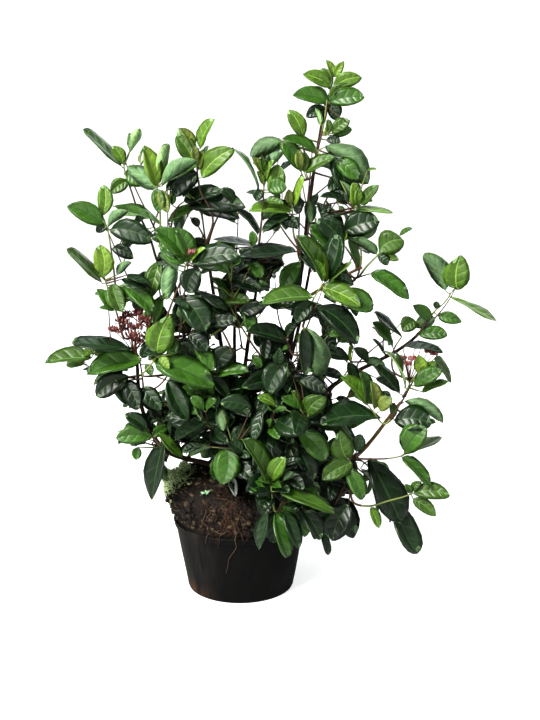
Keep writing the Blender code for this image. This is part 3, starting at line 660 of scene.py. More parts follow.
proud = ball.vertex_groups.new(name="proud")
for vertex in ball.data.vertices:
    above = (vertex.co.z - POT_HEIGHT - 1 * MM) / (8 * MM)
    proud.add([vertex.index], min(max(above, 0.0), 1.0), "REPLACE")
for name, kind, size, depth in (("lumps", "CLOUDS", 0.034, 12.0), ("clods", "CLOUDS", 0.012, 7.0),
                                ("crumbs", "STUCCI", 0.0042, 3.2)):
    texture = bpy.data.textures.new("peat_" + name, kind)
    texture.noise_scale = size
    apply_modifier(ball, "DISPLACE", texture=texture, strength=depth * MM, mid_level=0.55,
                   vertex_group="proud", texture_coords="LOCAL", direction="NORMAL")
select_only(ball)
bpy.ops.object.shade_smooth_by_angle(angle=math.radians(50))
wear(ball, peat)
hand_over(ball, "soil", "root_ball")


# %% [markdown]
# ## Many copies of one shape
# Crumbs, buds and leaves repeat by the hundred. Each is modelled once, its mesh is read into arrays, and
# `joined` writes all the placed copies into a single new mesh. That is far quicker than joining objects,
# and the result is plain geometry that any program can read.


# %% Read a model once, write many copies
class Pattern:
    """A modelled shape as arrays: corners, faces, the map and which finish each face wears."""

    def __init__(self, piece):
        mesh = piece.data
        self.corners = np.array([v.co[:] for v in mesh.vertices])
        self.loops = np.array([loop.vertex_index for loop in mesh.loops])
        self.sizes = np.array([face.loop_total for face in mesh.polygons])
        self.finish = np.array([face.material_index for face in mesh.polygons])
        self.smooth = np.array([face.use_smooth for face in mesh.polygons])
        self.tip = max((v.co.copy() for v in mesh.vertices), key=lambda corner: corner.x)
        layer = mesh.uv_layers.active
        no_map = np.zeros((len(self.loops), 2))
        self.map = np.array([point.uv[:] for point in layer.data]) if layer else no_map
        bpy.data.objects.remove(piece, do_unlink=True)


def joined(name, copies, materials):
    """One mesh of many copies: each is (pattern, matrix, the material of each of its finishes)."""
    corners, loops, sizes, finish, smooth, maps = [], [], [], [], [], []
    count = 0
    for pattern, matrix, worn in copies:
        place = np.array(matrix)
        corners.append(pattern.corners @ place[:3, :3].T + place[:3, 3])
        loops.append(pattern.loops + count)
        sizes.append(pattern.sizes)
        finish.append(np.array(worn)[pattern.finish])
        smooth.append(pattern.smooth)
        maps.append(pattern.map)
        count += len(pattern.corners)
    corners, loops, sizes = np.concatenate(corners), np.concatenate(loops), np.concatenate(sizes)
    mesh = bpy.data.meshes.new(name)
    mesh.vertices.add(len(corners))
    mesh.vertices.foreach_set("co", corners.astype(np.float32).ravel())
    mesh.loops.add(len(loops))
    mesh.loops.foreach_set("vertex_index", loops.astype(np.int32))
    mesh.polygons.add(len(sizes))
    mesh.polygons.foreach_set("loop_start", (np.cumsum(sizes) - sizes).astype(np.int32))
    for material in materials:
        mesh.materials.append(material)
    mesh.polygons.foreach_set("material_index", np.concatenate(finish).astype(np.int32))
    mesh.polygons.foreach_set("use_smooth", np.concatenate(smooth))
    mesh.uv_layers.new(name="leaf").data.foreach_set("uv", np.concatenate(maps).astype(np.float32).ravel())
    mesh.update(calc_edges=True)
    mesh.validate()
    piece = bpy.data.objects.new(name, mesh)
    bpy.context.scene.collection.objects.link(piece)
    return piece


def strands(name, paths, materials, sides=2):
    """Many tapering tubes as one mesh: each path is (points, radii, the material's number)."""
    curve = bpy.data.curves.new(name, "CURVE")
    curve.dimensions = "3D"
    curve.bevel_depth = 1.0
    curve.bevel_resolution = sides - 1
    curve.use_fill_caps = True
    for material in materials:
        curve.materials.append(material)
    for points, radii, number in paths:
        spline = curve.splines.new("POLY")
        spline.points.add(len(points) - 1)
        spline.material_index = number
        spline.use_smooth = True
        for point, place, radius in zip(spline.points, points, radii):
            point.co = (*place, 1)
            point.radius = radius
    piece = bpy.data.objects.new(name, curve)
    bpy.context.scene.collection.objects.link(piece)
    select_only(piece)
    bpy.ops.object.convert(target="MESH")
    piece = bpy.context.object
    edit(piece)
    bpy.ops.mesh.select_all(action="SELECT")
    bpy.ops.mesh.remove_doubles(threshold=0.00001)
    turn_outwards()
    done(piece)
    piece.name = piece.data.name = name
    return piece


# %% Turns and tapers that several pieces share
def thinning(points, radius, loss):
    """Radii that shrink evenly along a line of points, by a share of the first."""
    return [radius * (1 - loss * index / len(points)) for index in range(len(points))]


def axes(midrib, face):
    """A turn that lays X along the midrib and Z out of the upper face."""
    return Matrix((midrib, face.cross(midrib), face)).transposed().to_4x4()


def standing(direction):
    """A turn that stands a model's Z along a direction."""
    return direction.to_track_quat("Z", "Y").to_matrix().to_4x4()


def straightened(pattern):
    """A turn that brings the tip of a bent leaf back onto X."""
    return pattern.tip.rotation_difference(Vector((1, 0, 0))).to_matrix().to_4x4()


# %% [markdown]
# ## What lies on the peat
# Crumbs gather everywhere, some of them pale, and thin roots wander over the surface and hang over the rim
# at the front. Each root walks over the peat in short steps: every step turns a little at random and is
# then pulled back to the surface.


# %% Crumbs of peat
ball_surface = BVHTree.FromPolygons([v.co for v in ball.data.vertices],
                                    [tuple(face.vertices) for face in ball.data.polygons])
BALL_MIDDLE = Vector((BALL_SHIFT, 0, 140 * MM))
CRUMBS = 3000
CRUMB_SIZES = (0.9, 7.0)
PALE_CRUMBS = 0.28


def on_peat(azimuth, height_share):
    """The place and normal of the peat in a direction from the middle of its proud part."""
    rise = math.radians(-12 + 92 * height_share)
    aim = Vector((math.cos(azimuth) * math.cos(rise), math.sin(azimuth) * math.cos(rise), math.sin(rise)))
    place, normal, _, _ = ball_surface.ray_cast(BALL_MIDDLE + aim * 0.5, -aim)
    return place, normal


model = start_piece("crumb", bpy.ops.mesh.primitive_ico_sphere_add, subdivisions=1, radius=1)
edit(model)
bpy.ops.mesh.select_all(action="SELECT")
bpy.ops.transform.vertex_random(offset=0.35, seed=3)
done(model)
crumb_pattern = Pattern(model)

draw = random.Random(SEED)
crumbs = []
for _ in range(CRUMBS):
    place, normal = on_peat(draw.uniform(0, 2 * math.pi), draw.random() ** 1.5)
    size = draw.uniform(*CRUMB_SIZES) * MM * draw.random() ** 0.6
    turn = Matrix.Rotation(draw.uniform(0, 6.28), 4, UP) @ Matrix.Rotation(draw.uniform(0, 6.28), 4, "X")
    scale = Matrix.Diagonal((size, size * draw.uniform(0.5, 1), size * draw.uniform(0.4, 0.8), 1))
    tone = 1 if draw.random() < PALE_CRUMBS else 0
    crumbs.append((crumb_pattern, Matrix.Translation(place) @ turn @ scale, (tone,)))
loose_peat = joined("peat_crumbs", crumbs, [crumb, pale_crumb])
hand_over(loose_peat, "soil")


# %% Wandering roots
ROOT_OFF_WALL = 3.4 * MM
ROOT_OFF_RIM = 1 * MM
ROOT_LIFTS = (0.2, 1.6)


def root_walk(start, heading, steps, step_length, drop):
    """A thin root that keeps to the peat, and hangs free once it has passed the rim."""
    points = [start]
    for _ in range(steps):
        heading = (heading + Vector([draw.uniform(-0.55, 0.55) for _ in range(3)]) - UP * drop).normalized()
        place = points[-1] + heading * step_length
        near, normal, _, _ = ball_surface.find_nearest(place)
        outside = Vector((place.x, place.y, 0)).length > RIM_RADIUS - 2 * MM
        if place.z > POT_HEIGHT + 2 * MM:
            place = near + normal * draw.uniform(*ROOT_LIFTS) * MM
        elif not outside:
            break
        else:
            away = Vector((place.x, place.y, 0)).normalized()
            under_rim = place.z < POT_HEIGHT - RIM_BAND
            least = wall_radius(max(place.z, 0)) + ROOT_OFF_WALL if under_rim else RIM_RADIUS + ROOT_OFF_RIM
            flat = away * max(Vector((place.x, place.y, 0)).length, least)
            place = Vector((flat.x, flat.y, place.z))
            heading = (heading - UP * 0.5).normalized()
        points.append(place)
    return points


ROOTS_ALL_ROUND = 260
ROOTS_IN_TANGLE = 300
TANGLE_AZIMUTH = math.radians(-94)
LOOSE_AZIMUTH = math.radians(-112)
LONG_ROOTS = 24
LOWEST_ROOT = 66 * MM
ROOT_RADII = (0.20, 0.60)
DARK_ROOTS = 0.80
root_paths = []
for number in range(ROOTS_ALL_ROUND + ROOTS_IN_TANGLE):
    tangled = number >= ROOTS_ALL_ROUND
    azimuth = draw.gauss(TANGLE_AZIMUTH if number % 5 else LOOSE_AZIMUTH, 0.09)
    if not tangled:
        azimuth = draw.uniform(0, 2 * math.pi)
    start, normal = on_peat(azimuth, draw.uniform(0.0, 0.45) if tangled else draw.random() ** 1.5)
    heading = normal.cross(UP).normalized() * draw.choice((-1, 1)) - UP * draw.uniform(0, 1)
    steps = draw.randint(5, 11)
    points = root_walk(start, heading, steps, draw.uniform(2, 4.5) * MM, 0.34 if tangled else 0.12)
    lowest = LOWEST_ROOT if number % LONG_ROOTS == 0 else POT_HEIGHT - draw.uniform(0, 24) * MM
    points = [point for point in points if point.z > lowest]
    if len(points) > 3:
        radii = thinning(points, draw.uniform(*ROOT_RADII) * MM, 0.7)
        root_paths.append((points, radii, 0 if draw.random() < DARK_ROOTS else 1))
roots = strands("roots_on_peat", root_paths, [root_red_finish, root_pale_finish])
hand_over(roots, "soil")


# %% [markdown]
# ## Stems and boughs
# Stems rise from the peat in one clump, each with a small flare at its foot. The rule is the one that the
# solids were made by: a smooth curve through a few places, a radius that tapers from foot to tip, and a
# side limb that leaves its carrier squarely. The tube is finer here, swells at every node where a pair of
# leaves once stood, and is divided and displaced so that the bark has real relief.


# %% The limbs' places, in millimetres
GAP = 0.3 * MM
FLARE_HEIGHT = 14 * MM
FLARE_SWELL = 0.7
LIMB_STEP = 6 * MM
STUB = 2.5 * MM
INTERNODE = 30 * MM
# radius at the foot and at the tip, the foot on the root ball, and the places that the limb passes
STEMS = {
    "stem_leader": (5.6, 2.0, (26, 0), ((74, 0, 375), (96, 5, 521), (108, 5, 625), (126, 5, 740))),
    "stem_left_back": (4.8, 2.4, (-22, 20), ((-62, 24, 350), (-114, 0, 533))),
    "stem_left_mid": (4.2, 2.3, (-8, 34), ((-30, 40, 380), (-50, 20, 535))),
    "stem_left_low": (4.4, 2.4, (-42, -14), ((-112, -50, 235), (-144, -60, 303), (-149, -66, 388))),
    "stem_centre": (4.2, 2.2, (2, -24), ((8, -52, 350), (30, -32, 500))),
    "stem_front": (3.4, 2.2, (30, -44), ((44, -104, 210), (48, -152, 216))),
    "stem_right_low": (4.6, 2.4, (50, -16), ((112, -52, 212), (172, -80, 233), (236, -98, 322))),
    "stem_right_high": (4.8, 2.3, (47, 8), ((131, -16, 317), (239, -20, 382), (278, -20, 416))),
    "stem_back_left": (4.6, 2.3, (-30, 42), ((-82, 96, 340), (-112, 128, 470))),
    "stem_back_right": (4.6, 2.3, (24, 44), ((82, 104, 350), (112, 128, 490))),
    "stem_back_mid": (4.2, 2.3, (-2, 54), ((-12, 140, 330), (-12, 176, 430))),
}
# the stem that carries it, the height where it leaves, radius at its foot and tip, and its places
BOUGHS = {
    "bough_right_top": ("stem_leader", 455, 2.8, 2.0, ((150, -34, 494), (180, -52, 512))),
    "bough_front": ("stem_leader", 300, 3.0, 2.1, ((84, -60, 356), (94, -88, 412))),
    "bough_left_out": ("stem_left_low", 304, 2.4, 1.9, ((-172, -60, 326), (-190, -62, 348))),
}


# %% The rule that draws a limb
def millimetres(place):
    return Vector(place) * MM


def curve_through(places, step):
    """Points about a step apart on a smooth curve through the places."""
    ends = [2 * places[0] - places[1], *places, 2 * places[-1] - places[-2]]
    points = [places[0]]
    for before, start, end, after in zip(ends, ends[1:], ends[2:], ends[3:]):
        count = max(2, round((end - start).length / step))
        for index in range(1, count + 1):
            t = index / count
            pull = 2 * start + (end - before) * t
            bend = (2 * before - 5 * start + 4 * end - after) * t ** 2
            twist = (3 * start - before - 3 * end + after) * t ** 3
            points.append((pull + bend + twist) / 2)
    return points


def arc_lengths(points):
    lengths = [0.0]
    for start, end in zip(points, points[1:]):
        lengths.append(lengths[-1] + (end - start).length)
    return lengths


def taper(points, foot_radius, tip_radius):
    lengths = arc_lengths(points)
    return [foot_radius + (tip_radius - foot_radius) * length / lengths[-1] for length in lengths]


def place_on(points, radii, height):
    """The point, direction and radius of a limb where it passes a height; None is its tip."""
    if height is None:
        return points[-1], (points[-1] - points[-2]).normalized(), radii[-1]
    for start, end, radius in zip(points, points[1:], radii):
        if start.z <= height * MM <= end.z:
            share = (height * MM - start.z) / (end.z - start.z)
            return start.lerp(end, share), (end - start).normalized(), radius
    raise ValueError(f"the limb does not pass {height} mm")


def limb_start(points, radii, height, towards, swing=0.0):
    """Where a side limb starts and which way it leaves, clear of its carrier by the gap."""
    spot, direction, radius = place_on(points, radii, height)
    if height is None:
        return spot + direction * GAP, direction
    out = towards - spot
    out = (out - direction * out.dot(direction)).normalized()
    out = Matrix.Rotation(math.radians(swing), 3, direction) @ out
    return spot + out * (radius + GAP), out


limbs = {}
for name, (foot_radius, tip_radius, (x, y), passed) in STEMS.items():
    foot = Vector((x * MM, y * MM, BALL_TOP + GAP))
    collar = foot + UP * FLARE_HEIGHT
    points = [foot, foot + UP * FLARE_HEIGHT * 0.4, foot + UP * FLARE_HEIGHT * 0.7]
    points += curve_through([collar, *map(millimetres, passed)], LIMB_STEP)
    radii = taper(points, foot_radius * MM, tip_radius * MM)
    for ring, share in enumerate((1, 0.4, 0.15)):
        radii[ring] *= 1 + FLARE_SWELL * share
    limbs[name] = (points, radii)
for name, (carrier, height, foot_radius, tip_radius, passed) in BOUGHS.items():
    places = [millimetres(place) for place in passed]
    start, out = limb_start(*limbs[carrier], height, places[0])
    points = [start] + curve_through([start + out * STUB, *places], LIMB_STEP)
    limbs[name] = (points, taper(points, foot_radius * MM, tip_radius * MM))
print(len(limbs), "limbs, the longest", round(max(arc_lengths(p)[-1] for p, _ in limbs.values()), 3), "m")


# %% Bark them
BARK_RELIEF = 0.7 * MM
NODE_SWELL = 0.14
YOUNG_LIMBS = ("stem_right_low", "bough_right_top", "stem_front")
bark_lumps = bpy.data.textures.new("bark_lumps", "CLOUDS")
bark_lumps.noise_scale = 0.006


def swollen(points, radii):
    """Radii with a swelling at each node, where a pair of leaves stood."""
    lengths = arc_lengths(points)
    return [radius * (1 + NODE_SWELL * max(0, math.cos(2 * math.pi * length / INTERNODE)) ** 6)
            for length, radius in zip(lengths, radii)]


for name, (points, radii) in limbs.items():
    finish = young_bark if name in YOUNG_LIMBS else bark
    piece = strands("bark_" + name, [(points, swollen(points, radii), 0)], [finish], sides=4)
    apply_modifier(piece, "SUBSURF", levels=1, render_levels=1)
    apply_modifier(piece, "DISPLACE", texture=bark_lumps, strength=BARK_RELIEF, mid_level=0.5,
                   texture_coords="LOCAL", direction="NORMAL")
    hand_over(piece, "bark", name)


# %% [markdown]
# ## Shoots
# A mass of foliage hangs on one leading shoot that leaves its limb, with further shoots that fork from
# it. These are the shoots of the solids, drawn by the same seeded rule. Two kinds of finer twig grow on
# from there: side twigs out of the axils of the leaves, and short spurs on the stems themselves, which
# make the heart of the shrub as dark and crowded as it is in the picture.


# %% The masses' places, in millimetres
TWIG_BASE = 1.5 * MM
TWIG_TIP = 0.7 * MM
TWIG_STEP = 9 * MM
SHOOT_LEAVES = 0.30
SHOOT_ARRIVES = 0.34
SHOOT_TURNS_UP = 0.55
SIDE_SHOOT_SPREAD = 62 * MM
SHOOT_SWINGS = (0, 25, -25, 50, -50, 80, -80)
# the limb that carries it, the height where its stem leaves (None is the tip), its seeded side shoots,
# the size of its leaves, and the tips of its main shoots, the leading one first
MASSES = {
    "foliage_crown": ("stem_leader", None, 0, 0.72, ((138, 5, 771), (155, -15, 722))),
    "foliage_leader_left": ("stem_leader", 662, 0, 0.86, ((88, -10, 720), (38, -40, 684))),
    "foliage_leader_right": ("stem_leader", 600, 1, 0.90, ((173, -30, 604), (202, 6, 614), (166, 30, 672))),
    "foliage_leader_mid": ("stem_leader", 515, 0, 0.84, ((84, -66, 606), (91, -30, 662))),
    "foliage_leader_back": ("stem_leader", 560, 1, 0.90, ((112, 78, 690), (150, 74, 640))),
    "foliage_leader_low": ("stem_leader", 400, 1, 1.00, ((52, 56, 500),)),
    "foliage_centre_top": ("stem_centre", None, 1, 0.86, ((34, -50, 668), (0, -66, 610))),
    "foliage_shoulder": ("bough_right_top", None, 1, 0.90, ((209, -60, 540), (236, -24, 520))),
    "foliage_centre_front": ("bough_front", None, 1, 1.00, ((122, -110, 498), (84, -122, 470))),
    "foliage_left_tip": ("stem_left_back", None, 1, 0.86, ((-165, 0, 659),)),
    "foliage_left_upright": ("stem_left_back", 500, 0, 0.86, ((-113, -50, 638), (-90, -40, 585))),
    "foliage_left_crown": ("stem_left_mid", None, 0, 0.86, ((-58, 0, 634), (-78, 35, 684), (-24, 16, 600))),
    "foliage_left_edge": ("stem_left_back", 400, 0, 0.84, ((-189, -50, 567), (-150, -70, 530))),
    "foliage_left_high": ("stem_left_low", 350, 0, 0.90, ((-188, -80, 496), (-164, -20, 470))),
    "foliage_left_buds": ("stem_left_low", None, 0, 0.80, ((-151, -72, 432),)),
    "foliage_left_far": ("bough_left_out", None, 0, 1.00, ((-238, -62, 380), (-212, -96, 392))),
    "foliage_left_low": ("stem_left_low", 245, 1, 0.92, ((-168, -40, 262), (-118, -84, 250))),
    "foliage_left_front": ("stem_left_low", 330, 1, 1.00, ((-65, -110, 540), (-96, -132, 440))),
    "foliage_left_inner": ("stem_left_mid", 370, 2, 1.08, ((-98, 10, 420),)),
    "foliage_centre_left": ("stem_centre", 390, 1, 1.05, ((-6, -110, 445), (-14, -76, 530))),
    "foliage_centre": ("bough_front", 340, 1, 1.10, ((99, -146, 431), (58, -138, 385))),
    "foliage_front_mid": ("stem_centre", 262, 1, 1.05, ((100, -150, 328), (52, -140, 320))),
    "foliage_front_left": ("stem_centre", 226, 1, 1.05, ((-46, -130, 318), (-12, -138, 262))),
    "foliage_front_low": ("stem_front", None, 0, 0.92, ((50, -178, 228), (88, -160, 206), (14, -166, 216))),
    "foliage_right_foot": ("stem_right_low", 214, 1, 1.08, ((150, -124, 172),)),
    "foliage_right_hang": ("stem_right_low", 228, 0, 1.08, ((214, -76, 196), (250, -66, 136))),
    "foliage_right_low": ("stem_right_low", 262, 1, 0.84, ((240, -122, 254), (268, -112, 220))),
    "foliage_right_buds": ("stem_right_low", None, 1, 0.80, ((252, -100, 360), (272, -90, 392))),
    "foliage_right_front": ("stem_right_high", 300, 1, 0.84, ((177, -120, 356),)),
    "foliage_right_upper": ("stem_right_high", 372, 1, 0.84, ((214, -60, 437),)),
    "foliage_right_tip": ("stem_right_high", None, 0, 0.92, ((321, -20, 474), (296, -44, 440))),
    "foliage_right_inner": ("stem_right_high", 262, 1, 1.00, ((152, -44, 412),)),
    "foliage_right_back": ("stem_right_high", 350, 2, 0.95, ((262, 74, 420),)),
    "foliage_back_left_top": ("stem_back_left", None, 2, 0.90, ((-118, 140, 610),)),
    "foliage_back_left": ("stem_back_left", 380, 2, 1.00, ((-204, 104, 440),)),
    "foliage_back_left_low": ("stem_back_left", 262, 2, 1.05, ((-150, 124, 290),)),
    "foliage_back_mid_top": ("stem_back_mid", None, 2, 0.95, ((-6, 186, 570),)),
    "foliage_back_mid": ("stem_back_mid", 300, 2, 1.05, ((6, 216, 320),)),
    "foliage_back_right_top": ("stem_back_right", None, 2, 0.90, ((96, 134, 640),)),
    "foliage_back_right": ("stem_back_right", 370, 2, 1.00, ((200, 122, 470),)),
    "foliage_back_right_low": ("stem_back_right", 262, 2, 1.05, ((156, 112, 286),)),
}


# %% The rule that draws a shoot
def shoot_curve(start, out, tip):
    """A shoot leaves along out, sweeps towards its tip and turns up at its end."""
    reach = (tip - start).length
    aim = (tip - start).normalized()
    finish = (aim + UP * SHOOT_TURNS_UP).normalized()
    near = start + out * reach * SHOOT_LEAVES
    far = tip - finish * reach * SHOOT_ARRIVES
    count = max(3, round(reach / TWIG_STEP))
    points = []
    for index in range(count + 1):
        t = index / count
        early = start * (1 - t) ** 3 + near * 3 * t * (1 - t) ** 2
        points.append(early + far * 3 * t ** 2 * (1 - t) + tip * t ** 3)
    return points


def side_tips(rng, start, tip, count):
    """Tips of seeded side shoots, fanned round the leading shoot below its tip."""
    aim = (tip - start).normalized()
    across = aim.orthogonal().normalized()
    turn = rng.uniform(0, 2 * math.pi)
    tips = []
    for index in range(count):
        swing = Matrix.Rotation(turn + index * 2 * math.pi / count, 3, aim)
        out = (swing @ across).normalized()
        spread = SIDE_SHOOT_SPREAD * rng.uniform(0.85, 1.15)
        back = SIDE_SHOOT_SPREAD * rng.uniform(0.35, 0.75)
        tips.append(tip + out * spread - aim * back + UP * 0.15 * spread)
    return tips


def leading_shoot(name, swing):
    carrier, height, _, _, tips = MASSES[name]
    tip = millimetres(tips[0])
    start, out = limb_start(*limbs[carrier], height, tip, swing)
    return [start] + shoot_curve(start + out * STUB, out, tip)


def side_shoot(lead, tip, swing):
    """The centre line of a shoot that forks from the leading one."""
    forks = lead[len(lead) // 3:-3]
    fork = min(forks, key=lambda point: (point - tip).length + 0.9 * (point - lead[0]).length)
    out = ((tip - fork).normalized() + UP * 0.1).normalized()
    around = (lead[-1] - lead[0]).normalized()
    return shoot_curve(fork, Matrix.Rotation(math.radians(swing), 3, around) @ out, tip)


TWIG_CLEARANCE = 2.0 * MM
limb_places = np.array([point[:] for points, _ in limbs.values() for point in points])
limb_radii = np.array([radius for _, radii in limbs.values() for radius in radii])


def clears_limbs(points):
    """True if a line of points keeps clear of every limb, apart from the one that it leaves."""
    for point in points[2:]:
        gaps = np.linalg.norm(limb_places - np.array(point), axis=1) - limb_radii
        if gaps.min() < TWIG_CLEARANCE:
            return False
    return True


shoots = []
for name, (_, _, extra, _, tips) in MASSES.items():
    rng = random.Random(f"{SEED} {name}")
    lead = next((line for line in (leading_shoot(name, swing) for swing in SHOOT_SWINGS)
                 if clears_limbs(line)), leading_shoot(name, 0))
    shoots.append((name, lead, "lead"))
    for tip in [millimetres(tip) for tip in tips[1:]] + side_tips(rng, lead[0], lead[-1], extra):
        for swing in SHOOT_SWINGS:
            line = side_shoot(lead, tip, swing)
            if clears_limbs(line):
                shoots.append((name, line, "side"))
                break
print(len(shoots), "main shoots on", len(MASSES), "masses")


# %% [markdown]
# ## One leaf, many bends
# The leaf is pointed at both ends and widest below its middle, with a grooved midrib and a blade that
# bulges between midrib and margin. A flat outline cut from a plane would look like paper. So the upper
# face is a small grid, shaped row by row, and the underside is a second, coarser grid that hangs below
# it as a keel, and the two are merged along their margin into one closed, thin solid.
# Real leaves never repeat: some cup, some curl down at the tip, some twist or bow sideways, and some are
# blunt. The same model is therefore bent a dozen ways, and every copy takes one of them.


# %% Shape the leaf
LEAF_WIDTH = 0.56
BASE_TAPER = 0.68
TIP_TAPER = 0.62
LEAF_ROWS = (0.0, 0.06, 0.20, 0.38, 0.56, 0.73, 0.87, 0.96, 1.0)
MIDRIB_SHARE = 0.022
BLADE_BULGE = 0.019
KEEL_DEPTH = 0.016
# a row that has its shape is moved aside, so that the next pick finds only the rest
ASIDE = 2
FAR_ASIDE = 5
BLADE_BENDS = (
    # curl down of the tip in degrees, fold up of the halves, twist in degrees, wave of the margin,
    # sideways bow of the midrib, and how the outline tapers to its base and to its tip
    (22, 0.20, 0, 0.022, 0.00, 0.62, 0.74),
    (38, 0.12, 12, 0.030, 0.05, 0.72, 0.66),
    (12, 0.30, -10, 0.026, -0.06, 0.66, 0.72),
    (52, 0.08, -6, 0.022, 0.03, 0.70, 0.66),
    (30, 0.22, 18, 0.036, 0.07, 0.76, 0.58),
    (-8, 0.30, 6, 0.026, -0.03, 0.64, 0.76),
    (44, 0.14, -20, 0.032, -0.07, 0.74, 0.66),
    (18, 0.14, 8, 0.040, 0.00, 0.82, 0.56),
    (60, 0.16, 10, 0.024, -0.05, 0.66, 0.70),
    (28, 0.12, -14, 0.034, 0.09, 0.70, 0.66),
    (24, 0.26, 6, 0.030, -0.09, 0.78, 0.60),
    (16, 0.20, -12, 0.038, 0.06, 0.60, 0.80),
)


def half_width(share, base_taper=BASE_TAPER, tip_taper=TIP_TAPER):
    """Half of the leaf's width at a share of its length, as a share of its length."""
    full = share ** base_taper * (1 - share) ** tip_taper
    widest = base_taper / (base_taper + tip_taper)
    return LEAF_WIDTH / 2 * full / (widest ** base_taper * (1 - widest) ** tip_taper)


def leaf_sheet(name, columns, curl, fold, twist, wave, bow, *tapers):
    """A grid of leaf rows, shaped with the edit tools: widened, arched, folded and twisted."""
    rows = len(LEAF_ROWS) - 1
    sheet = start_piece(name, bpy.ops.mesh.primitive_grid_add, x_subdivisions=rows,
                        y_subdivisions=columns, size=1, location=(0.5, 0, 0))
    done(sheet)
    edit(sheet)
    if columns > 2:
        pick(sheet, lambda corner: abs(abs(corner.co.y) - 0.1) < 0.05)
        bpy.ops.transform.resize(value=(1, MIDRIB_SHARE / 0.1, 1))
        pick(sheet, lambda corner: abs(abs(corner.co.y) - 0.3) < 0.05)
        bpy.ops.transform.translate(value=(0, 0, BLADE_BULGE))
    else:
        pick(sheet, lambda corner: abs(corner.co.y) < 0.05)
        bpy.ops.transform.translate(value=(0, 0, -KEEL_DEPTH))
    pick(sheet, lambda corner: abs(corner.co.y) > 0.45)
    bpy.ops.transform.translate(value=(0, 0, fold * 0.5))
    pick(sheet, lambda corner: abs(abs(corner.co.y) - 0.3) < 0.05)
    bpy.ops.transform.translate(value=(0, 0, fold * 0.3))
    z = 0.0
    x = 0.0
    for row, share in enumerate(LEAF_ROWS):
        grid_x = row / rows
        pick(sheet, lambda corner: abs(corner.co.x - grid_x) < 0.01)
        width = max(2 * half_width(share, *tapers), 0.0001)
        middle = (grid_x, 0, 0)
        bpy.ops.transform.resize(value=(1, width, max(width * 1.9, 0.0001)), center_override=middle)
        bpy.ops.transform.rotate(value=math.radians(twist * share), orient_axis="X", center_override=middle)
    for row in range(rows, -1, -1):
        pick(sheet, lambda corner: abs(corner.co.x - row / rows) < 0.01)
        bpy.ops.transform.translate(value=(ASIDE + LEAF_ROWS[row] - row / rows, 0, 0))
    for row, share in enumerate(LEAF_ROWS):
        step = share - LEAF_ROWS[row - 1] if row else 0.0
        angle = math.radians(curl) * (share - 0.30)
        x += step * math.cos(angle)
        z -= step * math.sin(angle)
        ripple = wave * math.sin(9 * share + twist)
        edge = half_width(share, *tapers) * 0.9
        pick(sheet, lambda corner: abs(corner.co.x - ASIDE - share) < 0.01)
        bpy.ops.transform.translate(value=(x - share - ASIDE + FAR_ASIDE, 0, z))
        pick(sheet, lambda corner: abs(corner.co.x - FAR_ASIDE - x) < 0.001 and corner.co.y > edge)
        bpy.ops.transform.translate(value=(0, 0, ripple))
        pick(sheet, lambda corner: abs(corner.co.x - FAR_ASIDE - x) < 0.001 and corner.co.y < -edge)
        bpy.ops.transform.translate(value=(0, 0, -ripple))
        pick(sheet, lambda corner: abs(corner.co.x - FAR_ASIDE - x) < 0.001)
        bpy.ops.transform.translate(value=(0, bow * 4 * share * (1 - share), 0))
    bpy.ops.mesh.select_all(action="SELECT")
    bpy.ops.transform.translate(value=(-FAR_ASIDE, 0, 0))
    done(sheet)
    return sheet


def leaf_model(number, bend):
    """Upper face and keel, stitched along the margin, with finishes: 0 blade, 1 midrib, 2 underside."""
    upper = leaf_sheet(f"leaf_{number}", 5, *bend)
    lower = leaf_sheet(f"leaf_{number}_under", 2, *bend)
    edit(lower)
    bpy.ops.mesh.select_all(action="SELECT")
    bpy.ops.mesh.flip_normals()
    bpy.ops.object.mode_set(mode="OBJECT")
    for face in lower.data.polygons:
        face.material_index = 2
    middle_map = upper.data.uv_layers[0].data
    for face in upper.data.polygons:
        sides = [abs(middle_map[loop].uv.y - 0.5) for loop in face.loop_indices]
        face.material_index = 1 if max(sides) < 0.15 else 0
    for finish in range(3):
        upper.data.materials.append(ages[finish])
        lower.data.materials.append(ages[finish])
    select_only(lower, upper)
    bpy.ops.object.join()
    edit(upper)
    bpy.ops.mesh.select_all(action="SELECT")
    bpy.ops.mesh.remove_doubles(threshold=0.002)
    done(upper)
    bpy.ops.object.shade_smooth_by_angle(angle=math.radians(60))
    return Pattern(upper)


blades = [leaf_model(number, bend) for number, bend in enumerate(BLADE_BENDS)]
print(len(blades), "leaves of", len(blades[0].sizes), "faces")


# %% [markdown]
# ## Room for leaves
# Leaves may touch nothing, so each leaf or limb that is in place keeps a rough outline of a few faces.
# A new leaf is tested against those near it before it is kept. A coarse grid of cells finds the near
# ones quickly, as a full search through a thousand leaves would be slow.


# %% Rough outlines that keep leaves apart
CELL = 60 * MM
OUTLINE_ROWS = (0.03, 0.22, 0.46, 0.70, 0.90)


class Placed:
    """A leaf or limb that is in place: its outline, its faces, and the ball round them."""

    def __init__(self, corners, faces):
        self.corners = corners
        self.tree = BVHTree.FromPolygons(corners, faces)
        self.centre = sum(corners, Vector()) / len(corners)
        self.reach = max((corner - self.centre).length for corner in corners)


placed = {}


def cell_of(place):
    return tuple(int(value // CELL) for value in place)


def near_ones(item):
    low = cell_of(item.centre - Vector([item.reach + CELL] * 3))
    high = cell_of(item.centre + Vector([item.reach + CELL] * 3))
    for i in range(low[0], high[0] + 1):
        for j in range(low[1], high[1] + 1):
            for k in range(low[2], high[2] + 1):
                yield from placed.get((i, j, k), ())


def fits(item, besides=None):
    for other in near_ones(item):
        if other is not besides and (other.centre - item.centre).length < other.reach + item.reach:
            if other.tree.overlap(item.tree):
                return False
    return True


def put(item):
    placed.setdefault(cell_of(item.centre), []).append(item)


